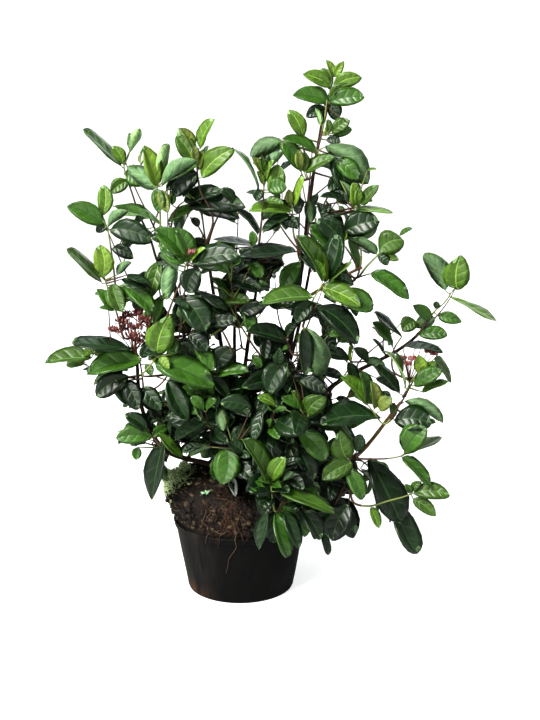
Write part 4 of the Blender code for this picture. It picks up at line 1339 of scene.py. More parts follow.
def rough_leaf(matrix, length, width=LEAF_WIDTH, droop=0.10):
    """The leaf's outline as a strip of flat faces; its corners run up one margin and down the other."""
    rows = []
    for share in OUTLINE_ROWS:
        half = half_width(share) / LEAF_WIDTH * width * length
        drop = -droop * share ** 2 * length
        rows.append([matrix @ Vector((share * length, side * half, drop)) for side in (-1, 1)])
    tip = matrix @ Vector((length, 0, -droop * length))
    corners = [row[0] for row in rows] + [tip] + [row[1] for row in reversed(rows)]
    last = len(corners) - 1
    faces = [(i, i + 1, last - i - 1, last - i) for i in range(len(rows) - 1)]
    return Placed(corners, faces + [(len(rows) - 1, len(rows), len(rows) + 1)])


for points, radii in limbs.values():
    for index in range(0, len(points) - 3, 3):
        first, last = points[index], points[index + 3]
        side = (last - first).orthogonal().normalized()
        other = side.cross((last - first).normalized())
        ring = [side, other, -side, -other]
        reach = radii[index] * 1.2
        corners = [end + out * reach for end in (first, last) for out in ring]
        put(Placed(corners, [(i, (i + 1) % 4, 4 + (i + 1) % 4, 4 + i) for i in range(4)]))


# %% [markdown]
# ## Where leaves show
# The picture shows sky between the shoots, and a rule alone would close it. Two maps of the camera's
# view are kept while the leaves are made: where foliage may show, and how near the nearest listed leaf
# is. A leaf that follows the rule has to fall on the first map and behind the second.
# The maps are drawn from outlines while the script runs.


# %% The two maps of the camera's view
leafy = np.zeros((PHOTO_SIZE[1], PHOTO_SIZE[0]), dtype=bool)
nearest_leaf = np.full(leafy.shape, np.inf)
# A third map holds painted shade: how many ages darker the leaves are dealt where a thicket shows.
shade = np.zeros(leafy.shape)
BACK_HALF = 30 * MM
LEAST_IN_VIEW = 0.93
MOST_HIDDEN = 0.05


def from_photo(u, v, y):
    """The place that shows at a pixel of the photograph and lies at a depth, given by its Y."""
    across = (u - PHOTO_SIZE[0] / 2) / PHOTO_FOCAL
    rise = (PHOTO_SIZE[1] / 2 - v) / PHOTO_FOCAL
    aim = Vector((across, math.cos(CAMERA_DOWN) + rise * math.sin(CAMERA_DOWN),
                  rise * math.cos(CAMERA_DOWN) - math.sin(CAMERA_DOWN)))
    return CAMERA_PLACE + aim * (y - CAMERA_PLACE.y) / aim.y


def inside(outline):
    """The pixels inside an outline, as index arrays, by counting the edges to their left."""
    xs, ys = np.array(outline).T
    left, right = max(0, int(xs.min())), min(PHOTO_SIZE[0], int(xs.max()) + 2)
    top, bottom = max(0, int(ys.min())), min(PHOTO_SIZE[1], int(ys.max()) + 2)
    if left >= right or top >= bottom:
        return np.empty(0, int), np.empty(0, int)
    v, u = np.mgrid[top:bottom, left:right] + 0.5
    odd = np.zeros(u.shape, dtype=bool)
    for x0, y0, x1, y1 in zip(xs, ys, np.roll(xs, -1), np.roll(ys, -1)):
        if y0 != y1:
            crosses = (y0 > v) != (y1 > v)
            odd ^= crosses & (u < x0 + (v - y0) * (x1 - x0) / (y1 - y0))
    rows, columns = np.nonzero(odd)
    return rows + top, columns + left


def sight_of(item):
    """The pixels that a rough outline covers, and its mean distance from the camera."""
    rows, columns = inside([seen_at(corner) for corner in item.corners])
    return rows, columns, (item.centre - CAMERA_PLACE).length


def is_behind(rows, columns, distance):
    return not len(rows) or bool((nearest_leaf[rows, columns] <= distance).all())


def may_show(item):
    """True if a leaf falls where foliage shows, and hides no listed leaf."""
    rows, columns, distance = sight_of(item)
    if not len(rows):
        return True
    in_view = leafy[rows, columns].mean() >= LEAST_IN_VIEW
    covered = nearest_leaf[rows, columns] > distance
    return in_view and (covered & np.isfinite(nearest_leaf[rows, columns])).mean() < MOST_HIDDEN


def painted_shade_at(item):
    """Painted shade: how many ages darker the leaves are dealt, where the camera sees this one in a thicket.
    """
    u, v = seen_at(item.centre)
    in_frame = 0 <= v < PHOTO_SIZE[1] and 0 <= u < PHOTO_SIZE[0]
    return shade[int(v), int(u)] if in_frame and item.centre.y < BACK_HALF else 0.0


# %% [markdown]
# ## Listed leaves
# The leaves that give the picture its look are set one by one. Each spray is a shoot, drawn through a
# few pixels at one depth, with a row for each leaf: the pixels of its base and its tip, its visible
# width, and its age. The real length and roll follow from these: a leaf that looks narrow for its
# length is turned edge-on, and one that shows its dull underside is turned over. Each shoot starts on the
# nearest limb, so that it is carried from every side.


# %% Ages that show an underside
# Several rows of these ages stand where a dark upper face shows a pale sheen. Their pale undersides are
# partly real undersides and partly painted sheen.
PALE_OLD, PALE_SUMMER, PALE_YOUNG = 10, 11, 12
AGE_OF_PALE = {PALE_OLD: MATURE, PALE_SUMMER: SUMMER, PALE_YOUNG: FRESH}


# %% Sprays of the left side, top to bottom
# name: depth as Y in millimetres, the shoot's pixels from its foot up, and the leaves, the front ones first
SPRAYS = {}
SPRAYS["left_front"] = (-118, ((143, 376), (150, 366), (157, 356)), (
    (157, 353, 170, 315, 25, FRESH), (159, 357, 169, 369, 9, TENDER), (155, 363, 215, 388, 25, MATURE),
    (150, 357, 163, 372, 5, TENDER), (168, 380, 189, 421, 19, OLD), (176, 354, 163, 338, 14, MATURE),
    (166, 352, 141, 357, 6, OLD),
))
SPRAYS["left_pink"] = (-108, ((166, 322), (173, 300), (181, 280), (187, 262)), (
    (186, 262, 154, 229, 18, MATURE), (189, 262, 176, 228, 15, MATURE), (190, 262, 207, 249, 6, TENDER),
    (193, 264, 241, 257, 19, OLD), (199, 268, 188, 293, 20, OLDEST), (178, 270, 160, 254, 10, PALE_OLD),
    (174, 263, 166, 300, 15, PALE_SUMMER), (173, 300, 189, 309, 6, OLD),
))
SPRAYS["left_mid"] = (-62, ((166, 330), (162, 305), (158, 280), (158, 262)), (
    (159, 262, 150, 299, 16, SUMMER), (158, 262, 168, 272, 9, OLD), (162, 298, 148, 330, 14, MATURE),
))
SPRAYS["left_upright"] = (-46, ((166, 268), (161, 238), (160, 212), (157, 187)), (
    (157, 186, 143, 145, 16, TENDER), (157, 188, 127, 166, 18, PALE_SUMMER),
    (162, 186, 198, 161, 13, PALE_SUMMER), (161, 177, 169, 144, 10, PALE_YOUNG),
    (156, 189, 159, 213, 13, MATURE),
    (160, 190, 168, 213, 11, BRONZE), (163, 182, 171, 172, 6, PALE_OLD), (160, 224, 112, 209, 7, MATURE),
))
SPRAYS["left_tip"] = (-6, ((158, 262), (150, 238), (139, 214), (132, 193), (125, 173), (124, 165)), (
    (123, 168, 80, 132, 9, MATURE), (123, 164, 113, 146, 11, FRESH), (130, 152, 141, 129, 8, PALE_YOUNG),
    (128, 181, 111, 193, 13, SUMMER), (126, 175, 146, 184, 17, MATURE), (130, 150, 131, 133, 4, PALE_SUMMER),
))
SPRAYS["left_crown"] = (-4, ((206, 243), (213, 222), (208, 205), (200, 190), (197, 168), (196, 150)), (
    (194, 148, 180, 128, 9, BRONZE), (200, 149, 216, 119, 12, FRESH), (193, 161, 176, 136, 17, SUMMER),
    (197, 165, 194, 145, 8, BRONZE), (199, 170, 204, 150, 6, BRONZE), (201, 178, 235, 149, 18, FRESH),
    (203, 166, 210, 146, 4, PALE_YOUNG), (199, 166, 166, 182, 11, MATURE), (198, 172, 173, 196, 16, OLDEST),
    (199, 178, 183, 197, 9, OLD), (184, 180, 166, 189, 9, OLDEST),
))
SPRAYS["left_crown_low"] = (14, ((168, 252), (171, 227), (177, 208), (185, 201)), (
    (188, 204, 246, 208, 21, OLDEST), (184, 201, 224, 192, 13, OLD), (203, 212, 240, 219, 12, OLDEST),
    (167, 223, 200, 208, 8, MATURE), (181, 212, 178, 229, 10, PALE_SUMMER), (172, 205, 170, 190, 6, MATURE),
))
SPRAYS["left_crown_right"] = (2, ((208, 244), (213, 228), (220, 214), (234, 203)), (
    (235, 208, 256, 237, 9, OLDEST), (234, 202, 222, 188, 10, OLD),
))
SPRAYS["left_fork"] = (24, ((208, 262), (206, 243), (198, 226), (190, 217)), (
    (191, 218, 199, 227, 7, OLDEST), (207, 246, 190, 241, 9, OLDEST), (210, 247, 236, 250, 8, FRESH),
    (258, 246, 212, 243, 7, OLDEST),
))
SPRAYS["left_edge"] = (-56, ((116, 306), (115, 282), (112, 256), (108, 230)), (
    (104, 223, 67, 206, 18, MATURE), (102, 216, 104, 185, 14, FRESH), (110, 229, 153, 241, 21, OLD),
    (108, 227, 128, 211, 9, PALE_SUMMER), (107, 226, 96, 232, 8, OLD), (112, 248, 134, 258, 12, OLDEST),
))
SPRAYS["left_high"] = (-84, ((124, 338), (117, 314), (110, 295), (105, 280)), (
    (102, 278, 100, 245, 18, TENDER), (103, 284, 64, 251, 10, SUMMER), (112, 284, 122, 312, 18, SUMMER),
    (113, 308, 97, 289, 11, MATURE), (114, 311, 99, 308, 5, MATURE), (97, 264, 96, 247, 6, OLDEST),
    (117, 275, 131, 262, 8, PALE_SUMMER), (121, 279, 149, 291, 8, OLDEST), (126, 275, 151, 284, 6, OLD),
    (124, 286, 153, 313, 17, MATURE),
))
SPRAYS["left_buds"] = (-78, ((144, 392), (142, 374), (139, 356)), (
    (142, 360, 87, 374, 22, MATURE), (134, 350, 71, 347, 13, OLD),
    (143, 358, 149, 342, 9, OLD), (146, 364, 152, 376, 8, MATURE), (129, 376, 96, 396, 19, OLDEST),
    (122, 380, 138, 410, 18, OLDEST), (141, 388, 161, 411, 16, OLD), (110, 378, 128, 404, 14, OLD),
))
SPRAYS["left_far"] = (-74, ((124, 362), (108, 356), (94, 353)), (
    (92, 358, 45, 363, 15, SUMMER), (84, 356, 96, 348, 8, FRESH),
))
SPRAYS["left_low"] = (-72, ((162, 450), (156, 440), (149, 432), (146, 418)), (
    (153, 437, 116, 438, 16, MATURE), (148, 432, 125, 414, 13, OLD), (138, 447, 136, 460, 9, MATURE),
    (164, 441, 154, 501, 17, OLDEST), (158, 433, 183, 458, 10, SUMMER),
    (152, 436, 169, 427, 10, MATURE), (141, 414, 132, 430, 9, OLDEST),
))
print("sprays on the left:", len(SPRAYS))


# %% Sprays of the leader and the centre
SPRAYS["front_foot"] = (-182, ((276, 512), (272, 496), (271, 484)), (
    (272, 481, 286, 456, 15, FRESH), (270, 484, 242, 439, 18, SUMMER), (279, 491, 334, 516, 14, SUMMER),
    (275, 512, 287, 558, 15, MATURE), (284, 511, 298, 549, 14, OLD), (268, 512, 258, 550, 11, OLD),
    (270, 499, 247, 484, 10, MATURE), (283, 481, 293, 472, 8, PALE_SUMMER), (330, 512, 308, 530, 15, OLD),
    (300, 508, 320, 540, 16, OLDEST),
))
SPRAYS["front_left"] = (-140, ((240, 470), (240, 456), (234, 448)), (
    (227, 449, 222, 485, 25, MATURE), (243, 452, 228, 443, 13, OLD), (222, 410, 223, 431, 12, PALE_OLD),
    (252, 408, 220, 402, 15, OLD), (262, 410, 255, 440, 12, OLD), (230, 440, 250, 432, 14, OLD),
    (212, 447, 190, 457, 9, PALE_OLD), (204, 446, 182, 452, 9, OLD),
))
# The glossy leaf is laid as two: a dark one on its left and a pale underside on its right. The pale one is
# painted sheen for the pale right half of the one leaf.
SPRAYS["centre"] = (-146, ((302, 352), (304, 338), (304, 327)), (
    (303, 328, 306, 376, 15, OLD), (307, 328, 317, 379, 22, PALE_OLD),
))
SPRAYS["centre_low"] = (-128, ((309, 446), (307, 430), (307, 418)), (
    (306, 416, 326, 396, 19, SUMMER), (306, 418, 291, 391, 8, FRESH), (300, 409, 281, 397, 10, MATURE),
    (298, 430, 326, 461, 20, MATURE), (276, 406, 257, 397, 9, FRESH), (300, 380, 326, 392, 16, OLDEST),
    (288, 362, 268, 393, 22, OLD),
))
SPRAYS["centre_high"] = (-98, ((303, 326), (312, 302), (322, 285)), (
    (327, 283, 321, 252, 5, TENDER), (328, 283, 353, 263, 5, FRESH), (322, 287, 361, 307, 18, FRESH),
    (313, 297, 261, 304, 17, SUMMER), (326, 282, 297, 236, 18, SUMMER), (335, 293, 373, 310, 20, MATURE),
    (327, 280, 339, 234, 19, OLD), (312, 301, 297, 323, 17, OLD), (314, 304, 324, 328, 9, OLDEST),
    (316, 306, 357, 345, 20, OLDEST), (354, 285, 330, 277, 14, OLD),
))
SPRAYS["centre_left"] = (-60, ((244, 300), (246, 282), (251, 262)), (
    (250, 262, 262, 278, 12, MATURE), (296, 251, 238, 255, 12, OLDEST), (284, 262, 254, 273, 10, OLDEST),
    (252, 246, 252, 231, 8, MATURE), (226, 278, 262, 291, 15, OLDEST),
    (210, 277, 228, 300, 9, MATURE), (240, 314, 267, 305, 15, OLDEST), (245, 308, 251, 333, 13, MATURE),
))
SPRAYS["centre_mid"] = (-72, ((292, 354), (289, 346), (286, 338)), (
    (288, 342, 246, 331, 16, OLDEST), (287, 336, 297, 321, 9, OLD), (268, 338, 265, 359, 12, OLDEST),
))
SPRAYS["centre_dark"] = (-96, ((232, 352), (224, 334), (212, 316)), (
    (208, 325, 238, 320, 14, OLDEST), (196, 291, 226, 312, 10, OLDEST), (180, 296, 206, 332, 27, OLD),
    (188, 334, 207, 352, 17, OLDEST), (194, 346, 213, 372, 13, MATURE), (217, 368, 234, 347, 21, OLDEST),
    (213, 376, 250, 373, 14, MATURE), (207, 374, 228, 398, 14, OLD),
))
SPRAYS["centre_gap"] = (-64, ((262, 360), (252, 344), (241, 326), (230, 306), (228, 301)), (
    (219, 301, 251, 302, 12, SUMMER), (252, 355, 261, 368, 9, MATURE),
))
SPRAYS["centre_top"] = (-48, ((258, 256), (261, 226), (263, 205), (264, 186)), (
    (263, 173, 252, 157, 8, BRONZE), (265, 172, 261, 154, 7, SUMMER), (266, 172, 269, 154, 4, OLDEST),
    (266, 181, 276, 160, 7, FRESH), (270, 193, 280, 166, 15, FRESH), (268, 190, 287, 187, 16, MATURE),
    (262, 190, 256, 201, 10, OLD), (263, 184, 257, 171, 6, FRESH), (258, 190, 228, 149, 6, MATURE),
    (262, 196, 246, 193, 4, OLD), (268, 170, 283, 152, 8, PALE_SUMMER),
    (266, 200, 284, 204, 7, SUMMER),
))
SPRAYS["centre_top_right"] = (-38, ((302, 254), (294, 236), (293, 218), (292, 207)), (
    (293, 208, 305, 176, 8, TENDER), (291, 206, 288, 189, 7, BRONZE), (292, 211, 249, 211, 14, FRESH),
    (290, 214, 263, 233, 9, OLD), (288, 216, 298, 229, 8, OLD), (280, 200, 291, 211, 7, OLDEST),
    (298, 214, 300, 196, 9, OLD),
))
SPRAYS["centre_top_low"] = (-40, ((302, 254), (290, 240), (279, 224)), (
    (280, 224, 262, 231, 8, OLDEST), (281, 222, 296, 227, 7, OLDEST),
))
SPRAYS["leader_tip"] = (2, ((324, 122), (328, 104), (331, 86), (333, 74)), (
    (333, 77, 326, 60, 7, TENDER), (335, 77, 344, 61, 8, TENDER), (331, 86, 303, 74, 13, FRESH),
    (333, 87, 362, 77, 14, FRESH), (330, 90, 322, 68, 10, SUMMER), (328, 101, 293, 95, 15, MATURE),
    (330, 102, 365, 97, 16, MATURE), (331, 98, 349, 84, 11, SUMMER), (328, 104, 309, 88, 12, MATURE),
    (329, 103, 337, 120, 13, OLD), (326, 108, 306, 117, 11, OLD), (331, 90, 334, 104, 9, MATURE),
))
SPRAYS["leader_top"] = (-4, ((316, 154), (320, 140), (324, 122), (327, 100)), (
    (303, 138, 289, 110, 14, FRESH), (332, 134, 350, 120, 12, SUMMER), (333, 136, 352, 129, 10, MATURE),
    (329, 134, 328, 119, 6, SUMMER), (326, 136, 327, 126, 5, BRONZE), (320, 125, 315, 108, 5, PALE_YOUNG),
    (326, 140, 341, 142, 8, OLD),
))
SPRAYS["leader_fork"] = (-20, ((313, 176), (315, 160), (318, 150)), (
    (305, 172, 335, 157, 11, SUMMER), (301, 172, 297, 149, 8, BRONZE), (304, 172, 304, 151, 8, SUMMER),
    (334, 159, 359, 180, 16, MATURE), (325, 146, 368, 184, 24, PALE_OLD), (317, 151, 282, 139, 10, MATURE),
    (283, 141, 250, 156, 16, PALE_OLD), (281, 141, 302, 171, 15, MATURE), (332, 154, 346, 192, 20, OLD),
    (345, 181, 328, 189, 14, OLD),
))
SPRAYS["leader_mid"] = (-24, ((306, 240), (309, 222), (310, 206)), (
    (309, 199, 311, 223, 11, PALE_OLD), (300, 198, 298, 214, 9, OLD), (312, 204, 318, 194, 7, OLD),
    (301, 262, 283, 291, 17, MATURE),
))
SPRAYS["leader_cross"] = (-42, ((356, 264), (349, 252), (343, 244)), (
    (342, 245, 318, 219, 20, OLD), (343, 243, 347, 231, 5, TENDER), (343, 244, 337, 235, 4, FRESH),
    (333, 252, 309, 226, 14, MATURE),
))
SPRAYS["leader_right"] = (-34, ((322, 285), (340, 287), (355, 280), (361, 262), (360, 244), (354, 208)), (
    (354, 207, 353, 182, 9, TENDER), (358, 207, 358, 187, 7, FRESH), (362, 205, 379, 185, 10, SUMMER),
    (355, 209, 393, 216, 6, FRESH), (340, 180, 352, 202, 7, PALE_OLD), (367, 171, 377, 170, 3, FRESH),
    (346, 200, 320, 197, 7, OLDEST), (350, 213, 331, 218, 5, OLDEST), (344, 214, 339, 206, 5, PALE_YOUNG),
    (343, 233, 380, 221, 24, OLD), (348, 238, 361, 270, 8, MATURE), (320, 213, 334, 223, 7, OLDEST),
    (324, 216, 318, 203, 7, OLDEST), (325, 216, 331, 204, 6, OLDEST), (348, 204, 334, 192, 11, OLDEST),
))
print("sprays so far:", len(SPRAYS))


# %% Sprays of the right side
SPRAYS["shoulder"] = (-52, ((357, 278), (367, 266), (379, 254)), (
    (379, 251, 404, 240, 23, SUMMER), (386, 256, 399, 260, 7, FRESH), (378, 255, 388, 265, 9, OLD),
    (377, 254, 350, 239, 9, PALE_OLD), (399, 236, 413, 229, 4, MATURE),
))
SPRAYS["shoulder_low"] = (-60, ((347, 283), (357, 278), (369, 274)), (
    (371, 273, 409, 300, 14, MATURE),
))
SPRAYS["right_front"] = (-122, ((400, 404), (385, 424), (372, 410), (367, 404)), (
    (368, 405, 341, 377, 14, FRESH), (366, 402, 360, 371, 9, MATURE), (375, 409, 371, 381, 11, BRONZE),
    (380, 411, 392, 397, 13, BRONZE), (381, 418, 319, 425, 21, OLD), (390, 402, 380, 392, 9, OLD),
))
SPRAYS["right_inner"] = (-66, ((330, 392), (344, 376), (352, 362)), (
    (350, 362, 352, 345, 4, TENDER), (348, 362, 358, 386, 10, OLD), (368, 362, 354, 348, 9, OLD),
    (364, 361, 386, 368, 9, PALE_OLD), (350, 360, 324, 354, 11, OLDEST), (320, 372, 343, 378, 9, OLDEST),
    (322, 336, 336, 351, 13, OLDEST), (376, 378, 398, 392, 8, OLDEST), (336, 398, 352, 405, 6, OLDEST),
))
SPRAYS["right_upper"] = (-58, ((394, 372), (393, 352), (402, 336)), (
    (393, 348, 371, 323, 9, MATURE), (402, 337, 370, 315, 7, OLDEST), (384, 354, 372, 339, 4, OLD),
))
SPRAYS["right_tip"] = (-34, ((417, 336), (433, 313), (445, 302), (453, 290)), (
    (457, 289, 461, 255, 24, FRESH), (445, 291, 424, 254, 18, PALE_OLD), (451, 297, 495, 326, 8, FRESH),
    (430, 319, 413, 305, 11, MATURE), (435, 318, 414, 327, 13, PALE_OLD), (416, 321, 402, 331, 15, SUMMER),
    (419, 335, 448, 335, 13, MATURE), (438, 316, 462, 322, 11, MATURE), (436, 309, 437, 301, 6, OLD),
))
SPRAYS["right_buds"] = (-104, ((403, 397), (408, 388), (410, 382)), (
    (422, 373, 418, 355, 13, TENDER), (426, 373, 437, 361, 9, FRESH), (414, 386, 443, 370, 15, MATURE),
    (422, 392, 449, 382, 7, SUMMER), (400, 394, 373, 366, 10, OLD), (405, 388, 381, 352, 6, FRESH),
    (402, 376, 394, 352, 6, FRESH),
    (434, 358, 450, 383, 7, SUMMER), (402, 347, 443, 355, 5, OLDEST),
))
SPRAYS["right_bough"] = (-112, ((385, 424), (393, 418), (400, 404)), (
    (394, 420, 432, 424, 24, OLD), (405, 401, 443, 423, 13, PALE_OLD), (427, 422, 436, 422, 5, MATURE),
    (395, 416, 394, 402, 7, MATURE),
))
SPRAYS["right_low"] = (-122, ((357, 458), (378, 459), (392, 458), (401, 456)), (
    (405, 453, 427, 426, 23, MATURE), (404, 455, 442, 437, 9, FRESH), (402, 457, 430, 487, 11, MATURE),
))
SPRAYS["right_foot"] = (-128, ((352, 470), (350, 462), (347, 458)), (
    (347, 459, 340, 430, 21, SUMMER), (352, 463, 322, 480, 18, SUMMER), (345, 467, 362, 500, 16, MATURE),
    (350, 490, 330, 483, 6, OLDEST), (349, 505, 332, 541, 27, OLDEST), (322, 530, 328, 555, 8, OLD),
    (357, 452, 361, 434, 12, OLD),
))
SPRAYS["right_lowest"] = (-120, ((348, 490), (354, 503), (370, 506), (388, 501), (403, 497), (411, 494)), (
    (413, 493, 450, 496, 15, SUMMER), (413, 499, 436, 516, 12, SUMMER), (411, 493, 405, 484, 6, MATURE),
    (413, 491, 421, 481, 8, SUMMER), (371, 507, 379, 528, 9, FRESH),
))
SPRAYS["right_hang"] = (-84, ((356, 460), (362, 461), (368, 466)), (
    (369, 458, 400, 524, 29, OLDEST), (395, 503, 417, 554, 21, OLD), (360, 468, 375, 493, 5, MATURE),
))
print("sprays in all:", len(SPRAYS), "with", sum(len(leaves) for _, _, leaves in SPRAYS.values()), "leaves")


# %% Where foliage shows as one mass, and where its leaves take painted shade, as outlines in the photograph's pixels
THICKETS = {
    "heart": ((150, 394), (188, 390), (216, 392), (246, 393), (262, 397), (290, 392), (322, 394),
              (330, 408), (322, 428), (330, 440), (352, 434), (358, 462), (342, 498), (300, 505),
              (262, 500), (250, 490), (240, 474), (214, 470), (210, 455), (184, 456), (165, 446),
              (148, 436), (144, 410)),
    "upper left": ((228, 262), (262, 243), (290, 249), (300, 258), (284, 264), (264, 292), (228, 297),
                   (222, 280)),
    "middle left": ((178, 296), (212, 300), (240, 312), (264, 306), (250, 328), (212, 333), (206, 346),
                    (186, 336), (176, 324)),
    "under the big leaf": ((176, 346), (190, 338), (212, 374), (246, 366), (264, 368), (268, 390),
                           (246, 392), (216, 394), (180, 382)),
    "beside the glossy leaf": ((262, 328), (288, 334), (294, 362), (300, 380), (322, 380), (326, 394),
                               (268, 396), (262, 366)),
    "lower left": ((96, 376), (128, 372), (140, 388), (160, 392), (160, 412), (144, 410), (118, 396),
                   (98, 394)),
    "over the rim": ((246, 498), (300, 505), (300, 545), (286, 556), (258, 546), (262, 516)),
    "over the rim, right": ((306, 505), (340, 500), (358, 512), (352, 532), (334, 542), (320, 528)),
}
# Leaves seen in a thicket are dealt older, darker ages by this many steps: painted shade of the crowded
# foliage.
THICKET_PAINTED_SHADE = 1.7
for outline in THICKETS.values():
    leafy[inside(outline)] = True
    shade[inside(outline)] = THICKET_PAINTED_SHADE
print("thickets cover", int(leafy.sum()), "pixels")


# %% Set one listed leaf
leaf_copies = {}
twig_paths = {}
stalk_paths = {}
TILTS = (-0.20, 0.05, 0.30, -0.40, 0.55, 0.80)
USUAL_WIDTH = 0.50
NARROW = 0.145
ARCH_DEPTH = 0.8
LEAST_DEPTH = 0.25
WIDER = 1.14
DEPTH_SHIFTS = (0, 6, -6, 14, 24, -14)
LEVEL = 0.35
STEEPEST_ROLL = math.radians(80)
LONG_STALK = 25 * MM
STALK_FOOT = 0.75 * MM
STALK_TIP = 0.6 * MM
# the number of the midrib and of the underside that go with each age
YOUTH = (0, 0, 0, 1, 2, 2, 1)
ARCHED_BLADES = (1, 3, 6, 8)
FLAT_BLADES = {0: (0, 2, 4, 5, 7, 10, 11), 1: (4, 9, 11), -1: (2, 10)}


def keep_leaf(region, spot, pattern, matrix, base, age):
    """Keeps a leaf's copy and its stalk, in the colours of its age."""
    youth = YOUTH[age]
    worn = (age, len(ages) + youth, len(ages) + len(midribs) + youth)
    leaf_copies.setdefault(region, []).append((pattern, matrix, worn))
    if (base - spot).length > 0.5 * MM:
        bend = spot.lerp(base, 0.5) - UP * 0.3 * MM
        thick = 1 + min((base - spot).length / LONG_STALK, 1.0)
        radii = (STALK_FOOT * thick, STALK_TIP * thick, STALK_TIP)
        stalk_paths.setdefault(region, []).append(((spot, bend, base), radii, 0 if age >= MATURE else 1))


def laid_leaf(row, base_y, tilt, cut):
    """One way to lay a leaf: its outline, place, length, full width, and how much of the width shows."""
    u0, v0, u1, v1, width, age = row
    base = from_photo(u0, v0, base_y)
    span = (from_photo(u1, v1, base_y) - base).length
    tip = from_photo(u0 + (u1 - u0) * cut, v0 + (v1 - v0) * cut, base_y + tilt * span)
    midrib = (tip - base).normalized()
    length = (tip - base).length
    towards = CAMERA_PLACE - base.lerp(tip, 0.5)
    seen_width = width * WIDER * cut * towards.length / PHOTO_FOCAL
    full_width = max(USUAL_WIDTH * length, seen_width)
    share = min(seen_width / full_width, 1)
    roll = min(math.acos(share), STEEPEST_ROLL)
    face = (towards - midrib * towards.dot(midrib)).normalized() * (-1 if age in AGE_OF_PALE else 1)
    face = max((Matrix.Rotation(turn, 3, midrib) @ face for turn in (roll, -roll)), key=lambda n: n.z)
    place = Matrix.Translation(base) @ axes(midrib, face)
    return rough_leaf(place, length, full_width / length, 0.0), place, length, full_width, share


def set_by_eye(region, spot, row, rng):
    """Lays a leaf from its base pixel to its tip pixel, the first way in which it fits.

    A level leaf takes a blade whose midrib bows upwards, as its tip hangs by its own weight. A leaf that is
    seen from its side is flattened, unless it is so narrow that only its arch can show.
    """
    ways = [laid_leaf(row, spot.y + shift * MM, tilt, cut)
            for cut in (1, 0.85) for shift in DEPTH_SHIFTS for tilt in TILTS]
    free = [way for way in ways if fits(way[0])]
    behind = [way for way in free if is_behind(*sight_of(way[0]))]
    if not free:
        print("left out, no room:", row)
        return
    rough, place, length, full_width, share = (behind or free)[0]
    age = row[5]
    arched = row[4] < NARROW * math.hypot(row[2] - row[0], row[3] - row[1])
    rise = place.col[1].z
    side = 0 if abs(rise) < LEVEL else int(math.copysign(1, rise))
    pattern = blades[rng.choice(ARCHED_BLADES if arched else FLAT_BLADES[side])]
    size = length / pattern.tip.length
    depth = size * (ARCH_DEPTH if arched else max(share, LEAST_DEPTH))
    stretch = Matrix.Diagonal((size, full_width / LEAF_WIDTH, depth, 1))
    base = place @ Vector((0.02 * length, 0, 0))
    matrix = place @ straightened(pattern) @ stretch
    keep_leaf(region, spot, pattern, matrix, base, AGE_OF_PALE.get(age, age))
    put(rough)
    rows, columns, distance = sight_of(rough)
    leafy[rows, columns] = True
    nearest_leaf[rows, columns] = np.minimum(nearest_leaf[rows, columns], distance)


# %% Carry each spray from the nearest limb and set its leaves
SPRAY_FOOT = 2.0 * MM
SPRAY_TIP = 1.05 * MM
RISE_PENALTY = 1.5
LONG_REACH = 45 * MM
YOUNG_AGES = (SUMMER, FRESH, TENDER)
YOUNG_GREEN_FROM = 0.45
OLD_GREEN_FROM = 0.8


def region_of(name):
    """The part of the shrub that a mass, limb or spray belongs to; each part is one joined piece."""
    if "leader" in name or "crown" in name or "shoulder" in name or "centre_top" in name:
        return "back" if name.endswith("back") else "crown"
    if "back" in name:
        return "back"
    if "left" in name and "centre" not in name and "front" not in name:
        return "left"
    return "right" if "right" in name else "front"


def near_on_line(points, place):
    """The place on a line of points that is nearest to a place."""
    best = points[0]
    for start, end in zip(points, points[1:]):
        span = end - start
        share = min(max((place - start).dot(span) / max(span.length_squared, 1e-12), 0), 1)
        spot = start + span * share
        if (spot - place).length < (best - place).length:
            best = spot
    return best


drawn = [0.0] * len(shoots)


def hold(number, spot):
    """Keeps a shoot drawn at least as far as the spot where something stands on it."""
    line = shoots[number][1]
    nearest = min(range(len(line)), key=lambda index: (line[index] - spot).length)
    drawn[number] = max(drawn[number], arc_lengths(line)[min(nearest + 1, len(line) - 1)])


carriers = [(point, None) for points, _ in limbs.values() for point in points]
carriers += [(point, number) for number, (_, line, _) in enumerate(shoots) for point in line[:-2]]
for name, (depth, pixels, leaves) in sorted(SPRAYS.items(), key=lambda item: item[1][0]):
    rng = random.Random(f"{SEED} spray {name}")
    route = [from_photo(u, v, depth * MM) for u, v in pixels]
    foot = route[0]
    start, number = min(carriers, key=lambda carrier: (carrier[0] - foot).length
                        + RISE_PENALTY * max(0, carrier[0].z - foot.z))
    if number is not None:
        hold(number, start)
    route = [start] + route if (start - foot).length > 2 * MM else route
    line = curve_through(route, LIMB_STEP)
    region = region_of(name)
    wood = taper(line, SPRAY_FOOT, SPRAY_TIP)
    green_from = round(len(line) * (YOUNG_GREEN_FROM if leaves[0][5] in YOUNG_AGES else OLD_GREEN_FROM))
    twig_paths.setdefault(region, []).append((line[:green_from + 1], wood[:green_from + 1], 1))
    twig_paths[region].append((line[green_from:], wood[green_from:], 0))
    if (start - foot).length > LONG_REACH:
        print(f"{name} starts {(start - foot).length / MM:.0f} mm away")
    for row in leaves:
        spot = near_on_line(line, from_photo(row[0], row[1], depth * MM))
        set_by_eye(region, spot, row, rng)
print("leaves set by eye:", sum(len(copies) for copies in leaf_copies.values()))


# %% [markdown]
# ## Leaves by the rule
# Laurustinus leaves stand in opposite pairs, and each pair is turned a quarter round from the one below.
# The youngest pair at a tip is small and upright, and the leaves lean out, grow and sag further down.
# Each leaf is tried on its shoot: where it would cut a limb or another leaf, or close the sky, it is
# turned a little, and it is left out if nothing fits. Leaves face the light, up and out from the axis
# of the crown, which gives the crown its tiled look. A shoot that ends up bare isn't drawn.


# %% The rule for one leaf
CROWN_AXIS = (45 * MM, 20 * MM)
LEAF_SAG = 0.26


